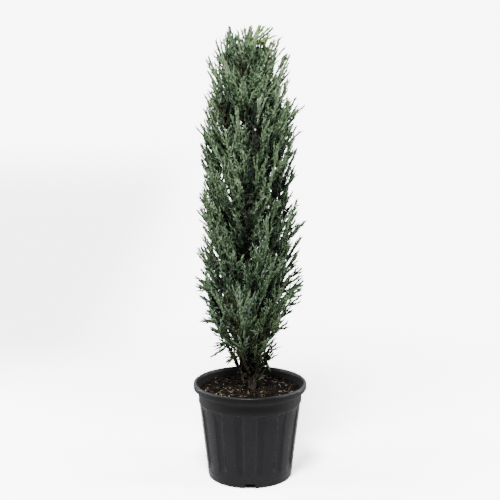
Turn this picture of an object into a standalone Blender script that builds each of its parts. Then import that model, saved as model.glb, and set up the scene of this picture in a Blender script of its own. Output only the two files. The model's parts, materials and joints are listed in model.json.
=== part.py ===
"""A young columnar Arizona cypress in a ribbed nursery pot, built from its real sizes in metres.

The origin is the centre of the pot's flat underside, +Z is up and the front of the plant faces -Y.
The pot, the soil, the trunk, each bough and each mass of foliage are separate solids. A mass is one
stem that goes on from its bough's tip, with twigs and flat sprays of leaf cords fused to it. It
keeps to its own space: the points that are nearer its stem than any other mass's stem.
"""

import math
import random

import bmesh
import bpy
import numpy as np
from mathutils import Matrix, Vector

GAP = 0.0003  # between two pieces that touch in the real plant
PLANT = "arizona_cypress"

# Pot: a five-litre nursery pot, 22 cm across its lip
POT_LIP_RADIUS = 0.1111
POT_HEIGHT = 0.1905
POT_WALL = 0.0016
POT_LIP_WIDTH = 0.005
POT_LIP_DEPTH = 0.012
POT_BAND_RADIUS = 0.1012  # the smooth band under the lip
POT_BAND_BOTTOM = 0.152
POT_BAND_STEP = 0.0014
POT_BAND_TURN = 0.0012  # the height that the step takes
POT_BAND_FLARE = 0.0004
POT_LIP_FLARE = 0.0055  # the height over which the wall turns out under the lip
POT_FOOT_RADIUS = 0.0821
POT_FOOT_CORNER = 0.0025
POT_FLUTES = 14
POT_STEPS_PER_FLUTE = 5
POT_FLUTE_DEPTH = 0.0020
POT_FLUTE_BOTTOM = 0.021
POT_FLUTE_RUNOUT = 0.009
POT_FLUTE_TOP_GAP = 0.0015
DRAINS = 4
DRAIN_WIDTH = 0.020
DRAIN_HEIGHT = 0.009
DRAIN_REACH = 0.010

# Soil
SOIL_Z = 0.1755
SOIL_CLEARANCE = 0.0006
SOIL_SHOULDER = 0.0025  # how far above the band's foot the soil widens, and over what height
SOIL_FLAT_RADIUS = 0.028
SOIL_LUMP_RINGS = (0.86, 0.64, 0.44)
SOIL_EDGE_DROP = 0.003
SOIL_LUMP = 0.0014
SOIL_SEGMENTS = 30

# Trunk: guide points, as height above the floor and how far it stands right and back there. The
# first lies under the soil and only gives the foot its lean, because the trunk is cut at the soil
TRUNK_FOOT_Z = SOIL_Z + GAP
TRUNK_GUIDE = [
    (0.1635, 0.005, 0.012),
    (0.2335, 0.001, 0.011),
    (0.3335, -0.004, 0.006),
    (0.4635, -0.003, 0.000),
    (0.5835, 0.003, -0.003),
    (0.6835, 0.006, -0.001),
    (0.7835, -0.002, 0.001),
]
TRUNK_GIRTH = [(0.1755, 0.0064), (0.2155, 0.0046), (0.7835, 0.0016)]  # its radius at each height
TRUNK_FLARE = 0.0036
TRUNK_FLARE_HEIGHT = 0.009
TRUNK_RINGS = 24

# Crown: its outline's radius at each height, about an axis that stands a little left of the pot's
CROWN_AXIS_X = -0.003
CROWN_OUTLINE = [
    (0.2085, 0.026),
    (0.2335, 0.038),
    (0.2655, 0.057),
    (0.3035, 0.074),
    (0.3435, 0.086),
    (0.3935, 0.092),
    (0.5635, 0.094),
    (0.7035, 0.088),
    (0.8035, 0.080),
    (0.8535, 0.062),
    (0.8825, 0.046),
]
CROWN_TOP = 0.882

# Tiers of boughs: name, count, bearing of the first, height on the trunk, foot and tip of the
# mass's stem, how far out those two stand, the bough's radius at the trunk, and the core's radius
TIERS = [
    ("low", 5, 180, 0.1895, 0.2355, 0.3485, 0.027, 0.058, 0.0032, 0.014),
    ("lower", 4, 35, 0.2715, 0.3215, 0.4735, 0.027, 0.056, 0.0027, 0.019),
    ("middle", 4, 80, 0.3915, 0.4415, 0.6015, 0.026, 0.058, 0.0024, 0.019),
    ("upper", 4, 125, 0.5175, 0.5675, 0.7255, 0.025, 0.055, 0.0020, 0.018),
    ("high", 4, 165, 0.6435, 0.6915, 0.8355, 0.021, 0.042, 0.0017, 0.011),
]
TIER_STAGGER = 0.009  # every second bough of a tier starts this much higher
BEARING_SPREAD = 7  # degrees, to either side
BOUGH_TAPER = 0.68
BOUGH_BOW = 0.16  # how far a bough bows outwards, as a share of its foot's distance out
BOUGH_SAG = 0.10  # how far it sags, as a share of its rise
BOUGH_POINTS = 5
TOP_STEM_TIP = (0.001, 0.000, 0.8495)
STEM_POINTS = 6
STEM_TAPER = 0.5
STEM_CARRY = 0.42  # how far a stem carries on in its bough's direction, as a share of its length
TOP_STEM_CARRY = 0.03

# Foliage: each spray is a flat toothed blade that stands for a feather of thin cords
TWIGS_PER_METRE = 36
FEWEST_TWIGS = 4
TWIG_SPAN = (0.06, 0.92)  # the stretch of the stem that carries twigs
TWIG_FAN = 160  # degrees to either side of outward that the twigs are spread over
TWIG_LEAN = (60, 30)  # degrees off the stem, at its foot and at its tip
TWIG_LENGTH = (0.036, 0.020)
TWIG_RADIUS = 0.0014
SPRAY_LENGTH = 0.084
SPRAY_HALF_WIDTH = 0.0205
SPRAY_HALF_THICKNESS = 0.0026
SPRAY_RIDGE = 0.26  # how far along its thickest place is
SPRAY_FOLLOW, SPRAY_RISE = 0.5, 0.3  # how much it turns from its twig to the stem's way and up
SPRAY_ROOT = 0.008  # how deep its root is sunk
TEETH = ((0.52, 1.0), (0.42, 0.50))  # along and out: each side's tooth, then the notch inside it
SPRAY_CLEAR_OF_TWIG = 0.16  # as a share of its length, past which it is held to its space
SIDE_SPRAYS = ((0.62, 30, 0.84), (0.30, -34, 0.80))  # along the twig, degrees aside, size
SIZES_TRIED = (1.12, 1.0, 0.88, 0.76, 0.64, 0.52)
SPACE_MARGIN = 0.0005
LIMB_CLEARANCE = 0.0010
CROWN_SLACK = 0.003  # how far a tooth may pass the crown's outline
GOLDEN_SHARE = (math.sqrt(5) - 1) / 2
PATH_STEPS = 60
CORE_SPAN = (0.06, 0.92)
SEED = 41


def clear_scene():
    for thing in list(bpy.data.objects):
        bpy.data.objects.remove(thing, do_unlink=True)


def new_collection(name):
    collection = bpy.data.collections.new(name)
    bpy.context.scene.collection.children.link(collection)
    return collection


def finish(name, colour, roughness):
    material = bpy.data.materials.new(name)
    material.use_nodes = True
    shader = material.node_tree.nodes["Principled BSDF"]
    shader.inputs["Base Color"].default_value = (*colour, 1.0)
    shader.inputs["Roughness"].default_value = roughness
    shader.inputs["Metallic"].default_value = 0.0
    return material


def mesh_object(name, bm, collection, material):
    mesh = bpy.data.meshes.new(name)
    bm.to_mesh(mesh)
    bm.free()
    mesh.materials.append(material)
    thing = bpy.data.objects.new(name, mesh)
    collection.objects.link(thing)
    return thing


def applied(thing):
    """The object with its modifiers made part of its mesh."""
    shape = thing.evaluated_get(bpy.context.evaluated_depsgraph_get())
    mesh = bpy.data.meshes.new_from_object(shape)
    mesh.name = thing.name
    thing.modifiers.clear()
    thing.data = mesh
    return thing


# Paths and distances


def smooth_path(points, count):
    """Points spread along a smooth curve through the guide points."""
    guide = np.array(points, dtype=float)
    ends = (2 * guide[0] - guide[1], 2 * guide[-1] - guide[-2])
    guide = np.vstack([ends[0], guide, ends[1]])
    spans = len(guide) - 3
    path = []
    for step in np.linspace(0, spans, count):
        span = min(int(step), spans - 1)
        t = step - span
        a, b, c, d = guide[span : span + 4]
        path.append(0.5 * (2 * b + (c - a) * t + (2 * a - 5 * b + 4 * c - d) * t**2
                           + (3 * b - a - 3 * c + d) * t**3))
    return np.array(path)


def bend(start, control, end, count):
    """A curve that leaves start towards control and reaches end from it."""
    t = np.linspace(0, 1, count)[:, None]
    return (1 - t) ** 2 * start + 2 * t * (1 - t) * control + t**2 * end


def distance_to_path(points, path):
    """How far each point lies from the path's straight runs."""
    start, run = path[:-1], np.diff(path, axis=0)
    offset = points[:, None] - start
    along = (offset * run).sum(-1) / (run**2).sum(-1)
    nearest = start + np.clip(along, 0, 1)[..., None] * run
    return np.linalg.norm(points[:, None] - nearest, axis=-1).min(axis=1)


def unit(vector):
    return vector / np.linalg.norm(vector)


def crown_radius(z):
    heights, radii = zip(*CROWN_OUTLINE)
    return np.interp(z, heights, radii)


# Pot and soil


def pot_profile():
    """The middle of the pot's wall from its foot up over its lip, as radius, height, flute depth."""
    half = POT_WALL / 2
    wall_top = POT_BAND_RADIUS - POT_BAND_STEP
    slope = (wall_top - POT_FOOT_RADIUS) / POT_BAND_BOTTOM
    flute_top = POT_BAND_BOTTOM - POT_FLUTE_TOP_GAP
    lip_inner = POT_LIP_RADIUS - POT_LIP_WIDTH + half
    lip_outer = POT_LIP_RADIUS - half
    lip_top = POT_HEIGHT - half
    lip_bottom = POT_HEIGHT - POT_LIP_DEPTH
    flare_top = lip_bottom - 0.0005
    band = POT_BAND_RADIUS - half

    def wall(z):
        return POT_FOOT_RADIUS + slope * z - half

    flutes = [
        (POT_FLUTE_BOTTOM, 0.0),
        (POT_FLUTE_BOTTOM + POT_FLUTE_RUNOUT, POT_FLUTE_DEPTH),
        (flute_top - POT_FLUTE_RUNOUT, POT_FLUTE_DEPTH),
        (flute_top, 0.0),
    ]
    return (
        [(POT_FOOT_RADIUS - POT_FOOT_CORNER, half, 0.0), (wall(0), POT_FOOT_CORNER, 0.0)]
        + [(wall(z), z, depth) for z, depth in flutes]
        + [
            (band, POT_BAND_BOTTOM + POT_BAND_TURN, 0.0),
            (band + POT_BAND_FLARE, flare_top - POT_LIP_FLARE, 0.0),
            (lip_inner, flare_top, 0.0),
            (lip_inner, lip_top, 0.0),
            (lip_outer, lip_top, 0.0),
            (lip_outer, lip_bottom, 0.0),
        ]
    )


def revolve(rings, steps, radius_at):
    """A surface through rings about +Z; radius_at gives a ring's radius at a bearing from the front."""
    bm = bmesh.new()
    bmesh.ops.create_circle(bm, segments=steps, radius=1.0)
    verts, ring = list(bm.verts), list(bm.edges)
    rows = []
    for number, values in enumerate(rings):
        if number:
            grown = bmesh.ops.extrude_edge_only(bm, edges=ring)["geom"]
            verts = [item for item in grown if isinstance(item, bmesh.types.BMVert)]
            fresh = set(verts)
            ring = [item for item in grown
                    if isinstance(item, bmesh.types.BMEdge) and fresh.issuperset(item.verts)]
        for vert in verts:
            from_front = math.atan2(vert.co.x, -vert.co.y)
            radius = radius_at(from_front, *values)
            vert.co = (radius * math.sin(from_front), -radius * math.cos(from_front), values[1])
        rows.append((verts, ring))
    bmesh.ops.contextual_create(bm, geom=rows[0][1])
    return bm, rows


def fluted_radius(from_front, radius, height, depth):
    """The pot wall's radius, less the flute's depth over two steps of every five."""
    steps = POT_FLUTES * POT_STEPS_PER_FLUTE
    place = round(from_front / math.tau * steps) % POT_STEPS_PER_FLUTE
    return radius - depth if place in (2, 3) else radius


def make_pot(collection, cutters, material):
    bm, _ = revolve(pot_profile(), POT_FLUTES * POT_STEPS_PER_FLUTE, fluted_radius)
    bmesh.ops.recalc_face_normals(bm, faces=bm.faces)
    pot = mesh_object("pot", bm, collection, material)
    shell = pot.modifiers.new("wall", "SOLIDIFY")
    shell.thickness = POT_WALL
    shell.offset = 0.0
    shell.use_even_offset = True
    for drain in range(DRAINS):
        notch = drain_cutter(drain, cutters, material)
        cut = pot.modifiers.new(notch.name, "BOOLEAN")
        cut.operation = "DIFFERENCE"
        cut.object = notch
    return pot


def drain_cutter(drain, cutters, material):
    """A block across the foot's corner, where one drain hole opens."""
    turn = Matrix.Rotation(math.tau * drain / DRAINS, 4, "Z")
    bm = bmesh.new()
    bmesh.ops.create_cube(bm, size=1.0)
    reach = 2 * DRAIN_REACH
    bmesh.ops.scale(bm, vec=(DRAIN_WIDTH, reach, 2 * DRAIN_HEIGHT), verts=bm.verts)
    bmesh.ops.translate(bm, vec=(0, -POT_FOOT_RADIUS - reach / 2 + DRAIN_REACH / 2, 0), verts=bm.verts)
    bmesh.ops.transform(bm, matrix=turn, verts=bm.verts)
    notch = mesh_object(f"drain_cutter_{drain + 1}", bm, cutters, material)
    notch.hide_render = True
    notch.display_type = "WIRE"
    return notch


def make_soil(collection, material):
    """The filled inside of the pot, with a lumpy top that is flat where the trunk stands."""
    rng = random.Random(SEED)
    inner = POT_WALL + POT_FLUTE_DEPTH + SOIL_CLEARANCE
    slope = (POT_BAND_RADIUS - POT_BAND_STEP - POT_FOOT_RADIUS) / POT_BAND_BOTTOM
    floor = POT_WALL + GAP
    shoulder = POT_BAND_BOTTOM + 1.6 * SOIL_SHOULDER
    top_radius = POT_BAND_RADIUS - POT_WALL - SOIL_CLEARANCE
    corner = POT_FOOT_CORNER + POT_WALL
    rings = [
        (POT_FOOT_RADIUS - inner - corner, floor),
        (POT_FOOT_RADIUS - inner + slope * floor, floor + corner),
        (POT_FOOT_RADIUS - inner + slope * shoulder, shoulder),
        (top_radius, shoulder + SOIL_SHOULDER),
        (top_radius, SOIL_Z - SOIL_EDGE_DROP),
    ]
    rings += [(top_radius * share, SOIL_Z) for share in SOIL_LUMP_RINGS]
    rings.append((SOIL_FLAT_RADIUS, SOIL_Z))
    bm, rows = revolve(rings, SOIL_SEGMENTS, lambda from_front, radius, height: radius)
    for (radius, height), (verts, _) in zip(rings, rows):
        if height == SOIL_Z and radius > SOIL_FLAT_RADIUS:
            for vert in verts:
                vert.co.z += rng.uniform(-SOIL_LUMP, SOIL_LUMP)
    bmesh.ops.contextual_create(bm, geom=rows[-1][1])
    bmesh.ops.recalc_face_normals(bm, faces=bm.faces)
    return mesh_object("soil", bm, collection, material)


# Trunk and boughs


def tube(name, path, radii, sides, collection, material):
    """A closed tapering limb along a path, with flat ends."""
    curve = bpy.data.curves.new(name, "CURVE")
    curve.dimensions = "3D"
    curve.bevel_depth = 1.0
    curve.bevel_resolution = (sides - 4) // 2
    curve.use_fill_caps = True
    spline = curve.splines.new("POLY")
    spline.points.add(len(path) - 1)
    for point, place, radius in zip(spline.points, path, radii):
        point.co = (*place, 1.0)
        point.radius = radius
    guide = bpy.data.objects.new(name + "_path", curve)
    collection.objects.link(guide)
    shape = guide.evaluated_get(bpy.context.evaluated_depsgraph_get())
    bm = bmesh.new()
    bm.from_mesh(bpy.data.meshes.new_from_object(shape))
    bmesh.ops.remove_doubles(bm, verts=bm.verts, dist=0.00001)
    bmesh.ops.recalc_face_normals(bm, faces=bm.faces)
    bpy.data.objects.remove(guide, do_unlink=True)
    return mesh_object(name, bm, collection, material)


def trunk_path():
    guide = [(x, y, z) for z, x, y in TRUNK_GUIDE]
    return smooth_path(guide, TRUNK_RINGS)


def trunk_radii(path):
    heights, radii = zip(*TRUNK_GIRTH)
    above_soil = np.maximum(path[:, 2] - TRUNK_FOOT_Z, 0)
    flare = TRUNK_FLARE * np.exp(-above_soil / TRUNK_FLARE_HEIGHT)
    return np.interp(path[:, 2], heights, radii) + flare


def trunk_point(path, z):
    return np.array([np.interp(z, path[:, 2], path[:, axis]) for axis in range(3)])


def plan_limbs(trunk):
    """Each bough's path and radii, and the path of the mass's stem that goes on from it."""
    rng = random.Random(SEED)
    plan = []
    for name, count, bearing, root, foot, tip, foot_out, tip_out, radius, core_radius in TIERS:
        for number in range(count):
            angle = math.radians(
                bearing + 360 * number / count + rng.uniform(-BEARING_SPREAD, BEARING_SPREAD)
            )
            out = np.array([math.cos(angle), math.sin(angle), 0.0])
            lift = TIER_STAGGER * (number % 2)
            start = trunk_point(trunk, root + lift)
            axis = np.array([CROWN_AXIS_X, 0.0, 0.0])
            foot_at = axis + out * foot_out + [0, 0, foot + lift]
            tip_at = axis + out * tip_out + [0, 0, tip + lift]
            knee = 0.5 * (start + foot_at) + out * foot_out * BOUGH_BOW
            knee[2] -= BOUGH_SAG * (foot - root)
            bough = bend(start, knee, foot_at, BOUGH_POINTS)
            onward = unit(bough[-1] - bough[-2])
            stem_foot = foot_at + onward * GAP
            reach = np.linalg.norm(tip_at - stem_foot)
            stem = bend(stem_foot, stem_foot + onward * reach * STEM_CARRY, tip_at, STEM_POINTS)
            tip_radius = radius * BOUGH_TAPER
            plan.append({
                "name": f"{name}_{number + 1}",
                "core_radius": core_radius,
                "bough": bough,
                "bough_radii": np.linspace(radius, tip_radius, BOUGH_POINTS),
                "stem": stem,
                "stem_radii": np.linspace(tip_radius, tip_radius * STEM_TAPER, STEM_POINTS),
            })
    onward = unit(trunk[-1] - trunk[-2])
    stem_foot = trunk[-1] + onward * GAP
    stem = bend(stem_foot, stem_foot + onward * TOP_STEM_CARRY, np.array(TOP_STEM_TIP), STEM_POINTS)
    plan.append({
        "name": "top",
        "core_radius": None,
        "stem": stem,
        "stem_radii": TRUNK_GIRTH[-1][1] * np.linspace(1, STEM_TAPER, STEM_POINTS),
    })
    return plan


def make_trunk(path, collection, material):
    """The trunk, cut flat where it meets the soil."""
    trunk = tube("trunk", path, trunk_radii(path), 8, collection, material)
    bm = bmesh.new()
    bm.from_mesh(trunk.data)
    cut = bmesh.ops.bisect_plane(bm, geom=bm.verts[:] + bm.edges[:] + bm.faces[:], dist=1e-6,
                                 plane_co=(0, 0, TRUNK_FOOT_Z), plane_no=(0, 0, -1),
                                 clear_outer=True)["geom_cut"]
    edges = [item for item in cut if isinstance(item, bmesh.types.BMEdge)]
    bmesh.ops.contextual_create(bm, geom=edges)
    bmesh.ops.recalc_face_normals(bm, faces=bm.faces)
    bm.to_mesh(trunk.data)
    bm.free()
    return trunk


def make_boughs(plan, trunk, collection, cutters, material):
    """Every bough, with its root cut to the trunk's side."""
    clearance = tube(
        "trunk_clearance", trunk, trunk_radii(trunk) + GAP * 1.15, 8, cutters, material
    )
    for limb in plan:
        if "bough" not in limb:
            continue
        bough = tube("bough_" + limb["name"], limb["bough"], limb["bough_radii"], 6,
                     collection, material)
        cut = bough.modifiers.new("root", "BOOLEAN")
        cut.operation = "DIFFERENCE"
        cut.object = clearance
        applied(bough)
        keep_largest_body(bough.data)
    bpy.data.objects.remove(clearance, do_unlink=True)


# Foliage


class Space:
    """The room that one mass keeps to: nearest its own stem, inside the crown, clear of limbs."""

    def __init__(self, own, plan, trunk):
        self.own = own["stem"]
        self.others = [limb["stem"] for limb in plan if limb is not own]
        self.limbs = [(trunk, trunk_radii(trunk))]
        self.limbs += [(limb["bough"], limb["bough_radii"]) for limb in plan if "bough" in limb]

    def room(self, points):
        """How far each point lies inside the mass's own space."""
        own = distance_to_path(points, self.own)
        others = np.min([distance_to_path(points, stem) for stem in self.others], axis=0)
        room = (others - own) / 2 - SPACE_MARGIN
        for path, radii in self.limbs:
            radius = np.interp(points[:, 2], path[:, 2], radii)
            room = np.minimum(room, distance_to_path(points, path) - radius - LIMB_CLEARANCE)
        from_axis = np.hypot(points[:, 0] - CROWN_AXIS_X, points[:, 1])
        room = np.minimum(room, crown_radius(points[:, 2]) + CROWN_SLACK - from_axis)
        return np.minimum(room, CROWN_TOP - points[:, 2])

    def holds(self, root, direction, side, length, half_width):
        """True if a spray from root fits, tested on a net of points over its blade."""
        along = np.linspace(SPRAY_CLEAR_OF_TWIG, 1.0, 11)
        lanes = np.linspace(-1, 1, 5)
        reach = np.interp(along, [0, TEETH[0][0], 1], [0, half_width, 0])
        net = (root + (along * length)[:, None, None] * direction
               + (reach[:, None] * lanes)[..., None] * side)
        thickness = SPRAY_HALF_THICKNESS * np.interp(along, [0, SPRAY_RIDGE, 1], [0, 1, 0])
        room = self.room(net.reshape(-1, 3)).reshape(len(along), len(lanes))
        return bool((room >= thickness[:, None] * (1 - np.abs(lanes))).all())


def placed(bm, start, direction, side):
    """Turns a shape's +Z along direction and its +X along side, and moves it to start."""
    z, x = Vector(direction), Vector(side)
    turn = Matrix((x, z.cross(x), z)).transposed().to_4x4()
    bmesh.ops.transform(bm, matrix=Matrix.Translation(Vector(start)) @ turn, verts=bm.verts)
    return bm


def spray(root, direction, side, length, half_width):
    """A toothed blade with a ridge along its middle, from a ball whose rim becomes its outline."""
    right = [(out * half_width, along * length) for along, out in TEETH]
    outline = ([(0, 0)] + right + [(0, length)] + [(-out, along) for out, along in reversed(right)])
    bm = bmesh.new()
    bmesh.ops.create_uvsphere(bm, u_segments=len(outline), v_segments=2, radius=1.0)
    rim = sorted((vert for vert in bm.verts if abs(vert.co.z) < 0.5),
                 key=lambda vert: math.atan2(vert.co.y, vert.co.x))
    for vert in bm.verts:
        if vert not in rim:
            side_of_blade = 1 if vert.co.z > 0 else -1
            vert.co = (0, -side_of_blade * SPRAY_HALF_THICKNESS, SPRAY_RIDGE * length)
    for vert, (out, along) in zip(rim, outline):
        vert.co = (out, 0, along)
    return placed(bm, root, direction, side)


def twig(start, end, side):
    """A three-sided twig."""
    length = np.linalg.norm(end - start)
    bm = bmesh.new()
    bmesh.ops.create_cone(bm, cap_ends=True, segments=3, radius1=TWIG_RADIUS,
                          radius2=TWIG_RADIUS * 0.75, depth=length,
                          matrix=Matrix.Translation((0, 0, length / 2)))
    return placed(bm, start, (end - start) / length, side)


def core(stem, full_radius, space):
    """A slim body round the stem that the sprays stand out of, where the mass is dense."""
    path = smooth_path(stem, PATH_STEPS + 1)
    bm = bmesh.new()
    bmesh.ops.create_uvsphere(bm, u_segments=6, v_segments=5, radius=1.0)
    foot, tip = CORE_SPAN
    for vert in bm.verts:
        share = foot + (tip - foot) * (vert.co.z + 1) / 2
        place = path[round(share * PATH_STEPS)]
        radius = max(TWIG_RADIUS, min(full_radius, space.room(place[None])[0]))
        vert.co = Vector(place) + Vector((vert.co.x * radius, vert.co.y * radius, 0))
    return bm


def add_spray(pieces, space, place, direction, size):
    """Adds the largest spray that leaves place in direction and keeps to the space, if any does."""
    outward = np.array([place[0] - CROWN_AXIS_X, place[1], 0.0])
    side = unit(np.cross(direction, outward))
    root = place - direction * SPRAY_ROOT
    for tried in SIZES_TRIED:
        length = SPRAY_LENGTH * size * tried
        half_width = SPRAY_HALF_WIDTH * min(1.0, size * tried)
        if space.holds(root, direction, side, length, half_width):
            pieces.append(spray(root, direction, side, length, half_width))
            return


def mass_pieces(stem, space, rng):
    """The twigs and sprays of one mass, up its stem, fanned to its outer side by the golden share."""
    path = smooth_path(stem, PATH_STEPS + 1)
    length = np.linalg.norm(np.diff(path, axis=0), axis=1).sum()
    count = max(FEWEST_TWIGS, round(TWIGS_PER_METRE * length))
    first, last = TWIG_SPAN
    pieces = []
    turn = rng.random()
    for number in range(count):
        share = first + (last - first) * (number + 0.5) / count
        step = round(share * PATH_STEPS)
        place = path[step]
        along = unit(path[step + 1] - path[step - 1])
        outward = math.atan2(place[1], place[0] - CROWN_AXIS_X)
        turn = (turn + GOLDEN_SHARE) % 1.0
        bearing = outward + math.radians(TWIG_FAN) * (2 * turn - 1)
        radial = np.array([math.cos(bearing), math.sin(bearing), 0.0])
        lean = math.radians(np.interp(share, (0, 1), TWIG_LEAN))
        direction = unit(along * math.cos(lean) + radial * math.sin(lean))
        reach = np.interp(share, (0, 1), TWIG_LENGTH)
        ends = [place + direction * reach * size for size in SIZES_TRIED]
        fits = [end for end in ends if space.room(end[None])[0] > TWIG_RADIUS]
        if not fits:
            continue
        end = fits[0]
        pieces.append(twig(place, end, unit(np.cross(along, direction))))
        upward = unit(direction + along * SPRAY_FOLLOW + np.array([0, 0, SPRAY_RISE]))
        add_spray(pieces, space, end, upward, 1.0)
        tangent = unit(np.cross(upward, radial)) * (1 if number % 2 else -1)
        for half, degrees, size in SIDE_SPRAYS:
            swing = math.radians(degrees)
            aside = unit(upward * math.cos(swing) + tangent * math.sin(swing))
            add_spray(pieces, space, place + (end - place) * half, aside, size)
    add_spray(pieces, space, path[-1], unit(path[-1] - path[-4]), 1.0)
    return pieces


def keep_largest_body(mesh):
    """Drops loose scraps and fills sealed hollows, so that one closed body is left."""
    bm = bmesh.new()
    bm.from_mesh(mesh)
    bmesh.ops.triangulate(bm, faces=bm.faces)
    waiting = set(bm.faces)
    bodies = []
    while waiting:
        body, edge_faces = set(), [waiting.pop()]
        while edge_faces:
            face = edge_faces.pop()
            body.add(face)
            for edge in face.edges:
                for other in edge.link_faces:
                    if other in waiting:
                        waiting.discard(other)
                        edge_faces.append(other)
        volume = sum(
            face.verts[0].co.dot(face.verts[1].co.cross(face.verts[2].co)) for face in body
        )
        bodies.append((volume, body))
    largest = max(bodies, key=lambda item: item[0])[1]
    scraps = [face for face in bm.faces if face not in largest]
    bmesh.ops.delete(bm, geom=scraps, context="FACES")
    bm.to_mesh(mesh)
    bm.free()


def make_mass(limb, plan, trunk, rng, collection, material):
    """One mass of foliage: its stem, core, twigs and sprays joined as one solid."""
    space = Space(limb, plan, trunk)
    mass = tube("foliage_" + limb["name"], limb["stem"], limb["stem_radii"], 4,
                collection, material)
    shapes = mass_pieces(limb["stem"], space, rng)
    if limb["core_radius"]:
        shapes.append(core(limb["stem"], limb["core_radius"], space))
    pieces = new_collection("pieces_" + limb["name"])
    for number, shape in enumerate(shapes):
        mesh_object(f"piece_{number}", shape, pieces, material)
    join = mass.modifiers.new("join", "BOOLEAN")
    join.operation = "UNION"
    join.operand_type = "COLLECTION"
    join.collection = pieces
    applied(mass)
    for piece in list(pieces.objects):
        bpy.data.objects.remove(piece, do_unlink=True)
    bpy.data.collections.remove(pieces)
    keep_largest_body(mass.data)
    return mass


def main():
    clear_scene()
    plant = new_collection(PLANT)
    cutters = new_collection("cutters")
    black_plastic = finish("pot_black", (0.022, 0.022, 0.023), 0.42)
    dark_soil = finish("dark_soil", (0.018, 0.014, 0.010), 0.95)
    bark = finish("reddish_bark", (0.14, 0.085, 0.055), 0.85)
    foliage = finish("blue_green_foliage", (0.045, 0.075, 0.036), 0.65)
    make_pot(plant, cutters, black_plastic)
    make_soil(plant, dark_soil)
    trunk = trunk_path()
    make_trunk(trunk, plant, bark)
    plan = plan_limbs(trunk)
    make_boughs(plan, trunk, plant, cutters, bark)
    rng = random.Random(SEED)
    for limb in plan:
        make_mass(limb, plan, trunk, rng, plant, foliage)


main()
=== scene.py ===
"""Looks for the young columnar Arizona cypress in its ribbed nursery pot.

The frame's pot, soil, trunk, boughs and masses of foliage are each replaced by a finer piece. The
trunk, boughs and stems follow the same plan as the solids, and the foliage grows on from them by
the same rule, carried down to the thin leaf cords. All sizes are in metres, and the front faces -Y.
"""

import json
import math
import random

import bmesh
import bpy
import numpy as np
from mathutils import Matrix, Vector, noise

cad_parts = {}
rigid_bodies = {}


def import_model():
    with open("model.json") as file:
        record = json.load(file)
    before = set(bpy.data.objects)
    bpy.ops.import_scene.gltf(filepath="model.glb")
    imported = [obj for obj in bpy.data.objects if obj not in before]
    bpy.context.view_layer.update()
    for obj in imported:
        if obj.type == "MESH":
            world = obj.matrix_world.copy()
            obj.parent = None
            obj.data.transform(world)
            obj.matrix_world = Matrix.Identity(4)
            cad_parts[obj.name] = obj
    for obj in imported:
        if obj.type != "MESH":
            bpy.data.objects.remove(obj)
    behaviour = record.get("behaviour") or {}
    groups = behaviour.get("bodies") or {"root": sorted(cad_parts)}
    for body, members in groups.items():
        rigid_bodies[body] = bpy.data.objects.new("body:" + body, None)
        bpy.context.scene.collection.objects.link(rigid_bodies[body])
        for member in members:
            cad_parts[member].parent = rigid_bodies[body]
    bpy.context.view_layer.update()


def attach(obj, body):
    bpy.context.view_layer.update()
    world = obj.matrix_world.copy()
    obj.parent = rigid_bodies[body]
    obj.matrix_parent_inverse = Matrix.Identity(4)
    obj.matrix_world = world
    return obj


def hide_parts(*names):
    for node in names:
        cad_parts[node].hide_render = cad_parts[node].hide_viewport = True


for leftover in list(bpy.data.objects):
    bpy.data.objects.remove(leftover, do_unlink=True)
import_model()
BODY = "root"
UP = np.array([0.0, 0.0, 1.0])

# The solids' own plan: pot, soil, trunk, crown and tiers of boughs
GAP = 0.0003
POT_LIP_RADIUS, POT_HEIGHT, POT_WALL = 0.1111, 0.1905, 0.0016
POT_LIP_DEPTH, POT_LIP_WIDTH = 0.012, 0.0056
POT_BAND_RADIUS, POT_BAND_BOTTOM, POT_BAND_STEP = 0.1012, 0.152, 0.0014
POT_FOOT_RADIUS, POT_FOOT_CORNER = 0.0821, 0.0030
POT_SLOPE = (POT_BAND_RADIUS - POT_BAND_STEP - POT_FOOT_RADIUS) / POT_BAND_BOTTOM
POT_LEDGE_Z, POT_LEDGE_STEP = 0.0150, 0.0005
POT_FLUTES, POT_FLUTE_DEPTH, POT_FLUTE_PRESS = 14, 0.0021, 0.0031
POT_FLUTE_BOTTOM, POT_FLUTE_TOP = 0.021, 0.1505
POT_STEPS = 16 * POT_FLUTES
DRAINS, DRAIN_WIDTH, DRAIN_HEIGHT, DRAIN_REACH, DRAIN_CORNER = 4, 0.020, 0.009, 0.010, 0.0012
SOIL_Z, SOIL_RADIUS = 0.1755, 0.0986
SOIL_LIFT, SOIL_SLOPE, SOIL_EDGE, SOIL_EDGE_DROP = 0.0004, 0.012, (0.091, 0.0985), 0.0020
# Broad lumps, crumbs and grains: scale, layer, rise
SOIL_LUMPS = ((28, 3.1, 0.0034), (130, 7.7, 0.0034), (360, 1.9, 0.0016))
TRUNK_FOOT_Z, TRUNK_FOOT_AT = SOIL_Z + GAP, (0.005, 0.0118)
TRUNK_GUIDE = [
    (0.1635, 0.005, 0.012), (0.2335, 0.001, 0.011), (0.3335, -0.004, 0.006), (0.4635, -0.003, 0.000),
    (0.5835, 0.003, -0.003), (0.6835, 0.006, -0.001), (0.7835, -0.002, 0.001),
]
TRUNK_GIRTH = [(0.1755, 0.0064), (0.2155, 0.0046), (0.7835, 0.0016)]
TRUNK_FLARE, TRUNK_FLARE_HEIGHT, TRUNK_RINGS = 0.0036, 0.009, 24
CROWN_AXIS_X, CROWN_TOP, CROWN_SLACK = -0.003, 0.8818, 0.003
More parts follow.
